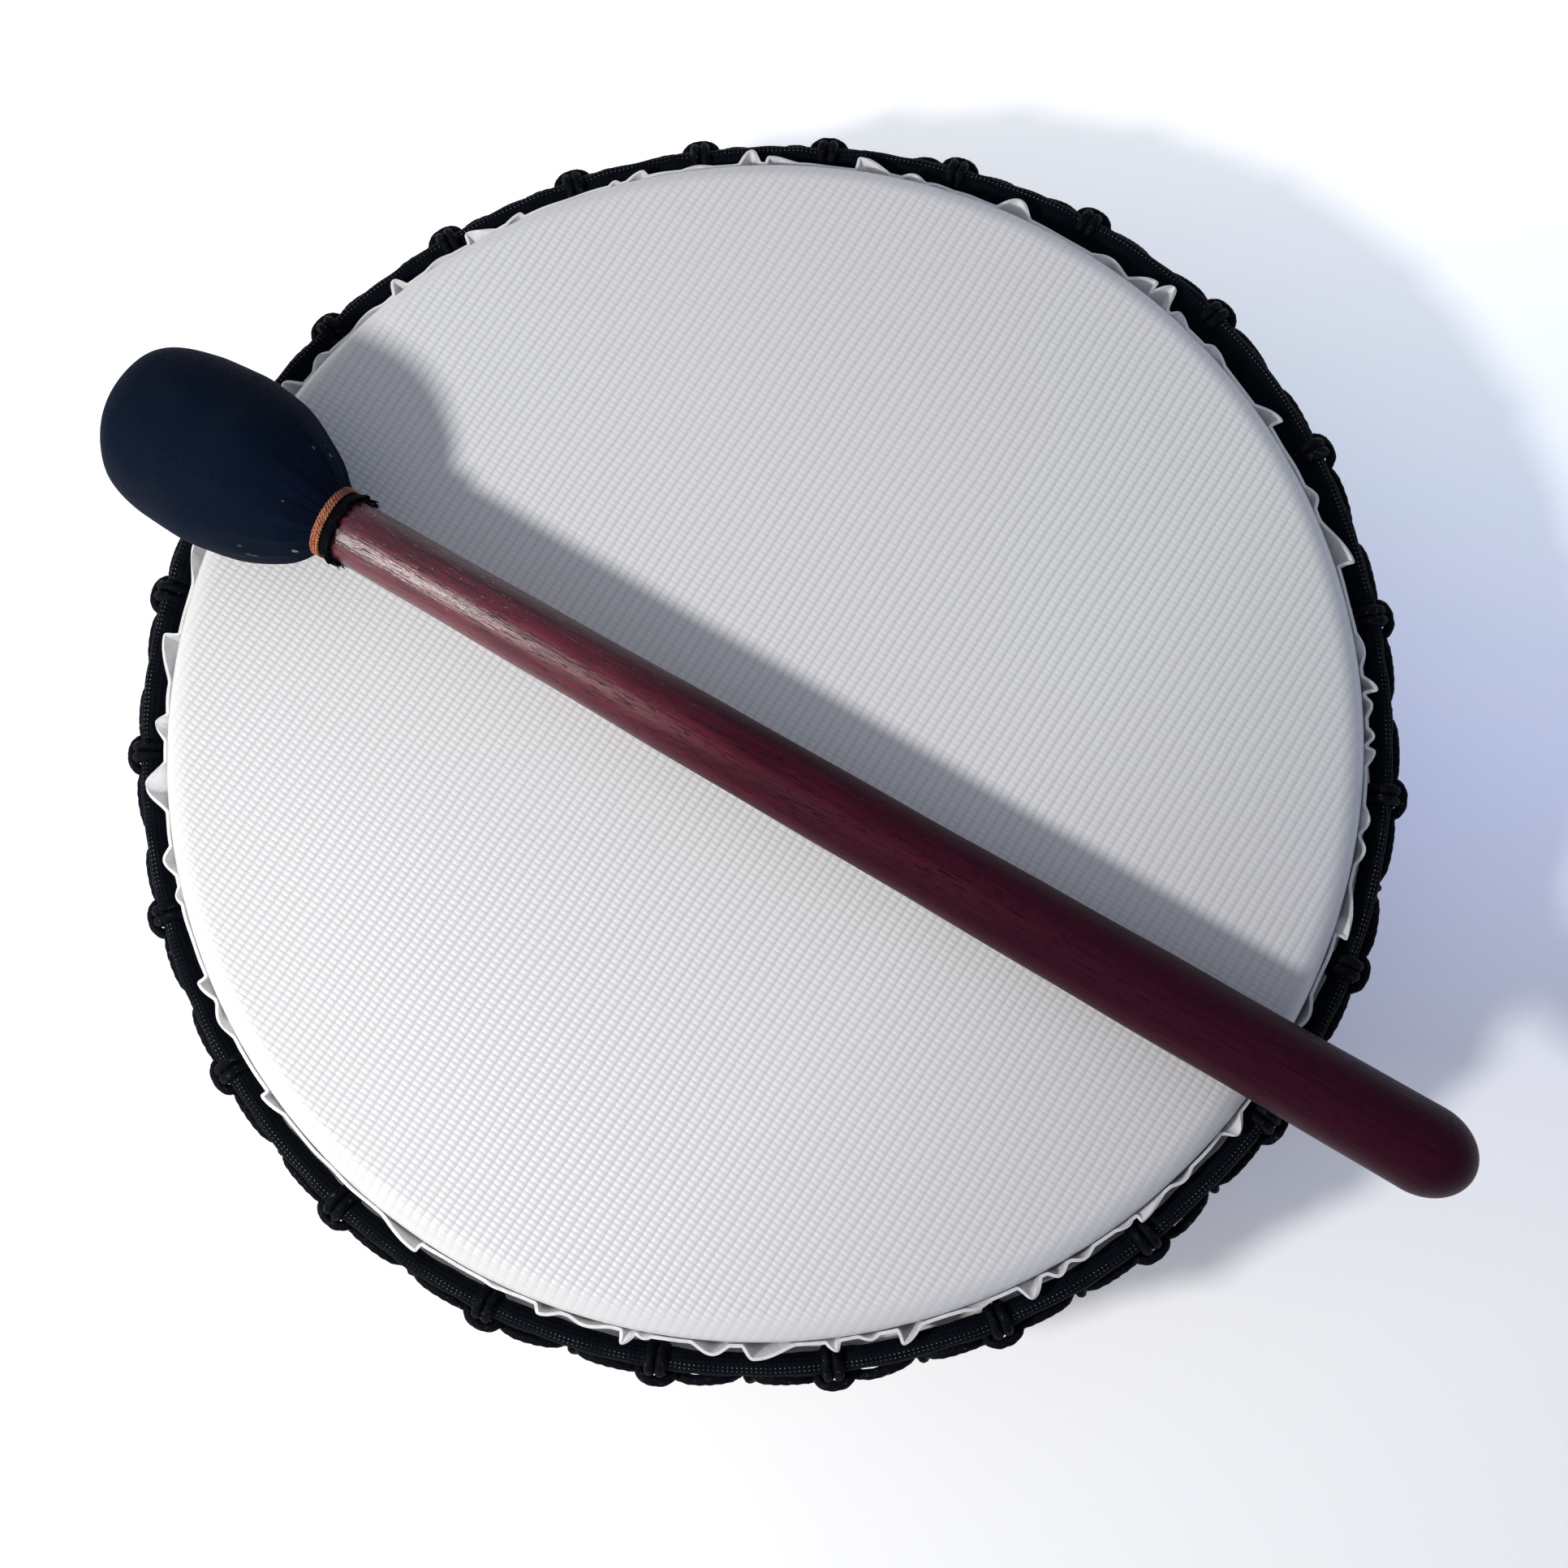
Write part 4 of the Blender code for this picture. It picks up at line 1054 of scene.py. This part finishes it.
def make_hem_threads(cloth, place):
    """Frayed ends of the cover's threads, past the binding, in tufts at two sides."""
    chance = np.random.default_rng(11)
    share = np.linspace(0.0, 1.0, 6)
    paths = []
    for number in range(HEM_THREADS):
        tuft = (0.0, math.pi, None, None, None)[number % 5]
        turn = chance.uniform(0, math.tau) if tuft is None else chance.normal(tuft, 0.24)
        along = HEM_START + chance.uniform(0.9, 2.5 if tuft is None else 4.8) * MM
        length = chance.uniform(0.6, 1.5 if tuft is None else 2.6) * MM
        lift = chance.uniform(0.15, 0.9)
        twist = chance.normal(0, 0.8)
        start = STICK_BARE + chance.uniform(0.1, 1.2) * MM
        radius = start + length * share * lift - 0.9 * length * share ** 2 * (lift - 0.4)
        swirl = turn + twist * share * length / start
        height = along + length * share * (1 - lift * 0.6)
        paths.append(np.stack((radius * np.cos(swirl), radius * np.sin(swirl), height), axis=-1))
    radii = THREAD * np.linspace(1.2, 0.6, 6)[:, None] * np.ones(5)
    dressed(tubes("frayed_hem_threads", paths, radii, cloth, place), "cover_cloth", "beater")


def make_binding(twine, place):
    """Twisted twine wound round the cover at the neck: two plies along one coil."""
    reach = STICK_NECK + GAP + COVER + TWINE
    ply = TWINE * 0.56
    offset = TWINE * 0.50
    steps = 1400
    turn = np.linspace(0.0, BINDING_TURNS * math.tau, steps)
    along = TWINE_START + TWINE_PITCH * turn / math.tau + 0.07 * MM * np.sin(turn * 1.37)
    lay = turn * reach / TWINE_LAY * math.tau
    paths = []
    for start in (0.0, math.pi):
        radius = reach + offset * np.cos(lay + start)
        height = along + offset * np.sin(lay + start)
        paths.append(np.stack((radius * np.cos(turn), radius * np.sin(turn), height), axis=-1))
    piece = tubes("twisted_binding", paths, np.full((steps, 8), ply), twine, place)
    dressed(piece, "binding_twine", "beater", "beater_binding")


def repaint(node, material):
    """Give one of the frame's own solids a finish."""
    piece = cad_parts[node]
    piece.data.materials.clear()
    piece.data.materials.append(material)


def dress():
    """Every piece of the drum and its beater."""
    cord = cord_material()
    steel = steel_material()
    cloth = cover_material()
    repaint("flesh_ring", steel)
    repaint("crown_ring", steel)
    make_hoop(hoop_material())
    make_skin(skin_material())
    make_crown_wrap(tape_material())
    make_cradle(cord)
    make_lacing(cord)
    make_grip_ring(steel)
    place = beater_frame()
    make_stick(stick_material(), place)
    make_filling(felt_material(), place)
    make_cover(cloth, place)
    make_hem_threads(cloth, place)
    make_binding(twine_material(), place)


def add_stage():
    """White floor that keeps the shadow. What the camera sees of it is a little paler than its light, by a
    painted glow.
    """
    bpy.ops.mesh.primitive_plane_add(size=6.0, location=(0, 0, -0.2 * MM))
    floor = bpy.context.object
    floor.name = "floor"
    made = Nodes("floor_paper", (0.95, 0.95, 0.95), 0.9)
    rays = made.add("ShaderNodeLightPath").outputs
    seen = made.plus(made.plus(rays["Is Camera Ray"], rays["Is Glossy Ray"]), rays["Is Transmission Ray"])
    x, y, z = made.split()
    upward = made.range(y, -150 * MM, 220 * MM)
    glow = made.add("ShaderNodeEmission")
    # Painted light: a glow that grows towards the top and is bluest across the middle, where the drum's
    # shadow lies.
    painted_glow_colour = made.ramp(
        upward,
        (0.0, (0.17, 0.17, 0.18)),
        (0.2, (0.11, 0.12, 0.19)),
        (0.4, (0.20, 0.23, 0.41)),
        (0.65, (0.32, 0.37, 0.46)),
        (1.0, (0.53, 0.54, 0.55)),
    )
    made.put(glow.inputs["Color"], painted_glow_colour)
    made.put(glow.inputs["Strength"], seen)
    both = made.add("ShaderNodeAddShader")
    made.put(both.inputs[0], made.shader.outputs[0])
    made.put(both.inputs[1], glow.outputs[0])
    made.put(made.tree.nodes["Material Output"].inputs["Surface"], both.outputs[0])
    floor.data.materials.append(made.material)


def add_light():
    """One small soft lamp at the lower left, and a sky that is bluer from the right."""
    light = bpy.data.lights.new("lamp", "AREA")
    light.shape = "DISK"
    light.size = LAMP_SIZE
    light.energy = LAMP_POWER
    light.color = (1.0, 0.985, 0.955)
    lamp = bpy.data.objects.new("lamp", light)
    lamp.location = LAMP_PLACE
    toward = Vector(LAMP_PLACE) - Vector((0.0, 0.0, DRUM_HEIGHT))
    lamp.rotation_euler = toward.to_track_quat("Z", "Y").to_euler()
    SCENE.collection.objects.link(lamp)
    world = bpy.data.worlds.new("sky")
    world.use_nodes = True
    tree = world.node_tree
    back = tree.nodes["Background"]
    back.inputs["Strength"].default_value = SKY_STRENGTH
    direction = tree.nodes.new("ShaderNodeTexCoord")
    parts = tree.nodes.new("ShaderNodeSeparateXYZ")
    share = tree.nodes.new("ShaderNodeMapRange")
    share.inputs["From Min"].default_value = -0.7
    share.inputs["From Max"].default_value = 0.7
    blend = tree.nodes.new("ShaderNodeMix")
    blend.data_type = "RGBA"
    blend.inputs[6].default_value = (*SKY_LEFT, 1.0)
    blend.inputs[7].default_value = (*SKY_RIGHT, 1.0)
    tree.links.new(direction.outputs["Generated"], parts.inputs[0])
    tree.links.new(parts.outputs["X"], share.inputs["Value"])
    tree.links.new(share.outputs[0], blend.inputs[0])
    tree.links.new(blend.outputs[2], back.inputs["Color"])
    SCENE.world = world


def add_camera():
    """The camera that was fitted to the photograph."""
    data = bpy.data.cameras.new("camera")
    data.lens = CAMERA_LENS
    data.sensor_width = 36.0
    data.clip_start = 10 * MM
    camera = bpy.data.objects.new("camera", data)
    camera.location = CAMERA_PLACE
    camera.rotation_euler = [math.radians(a) for a in CAMERA_TURN]
    SCENE.collection.objects.link(camera)
    SCENE.camera = camera


SCENE.view_settings.view_transform = "Standard"
add_camera()
dress()
add_stage()
add_light()
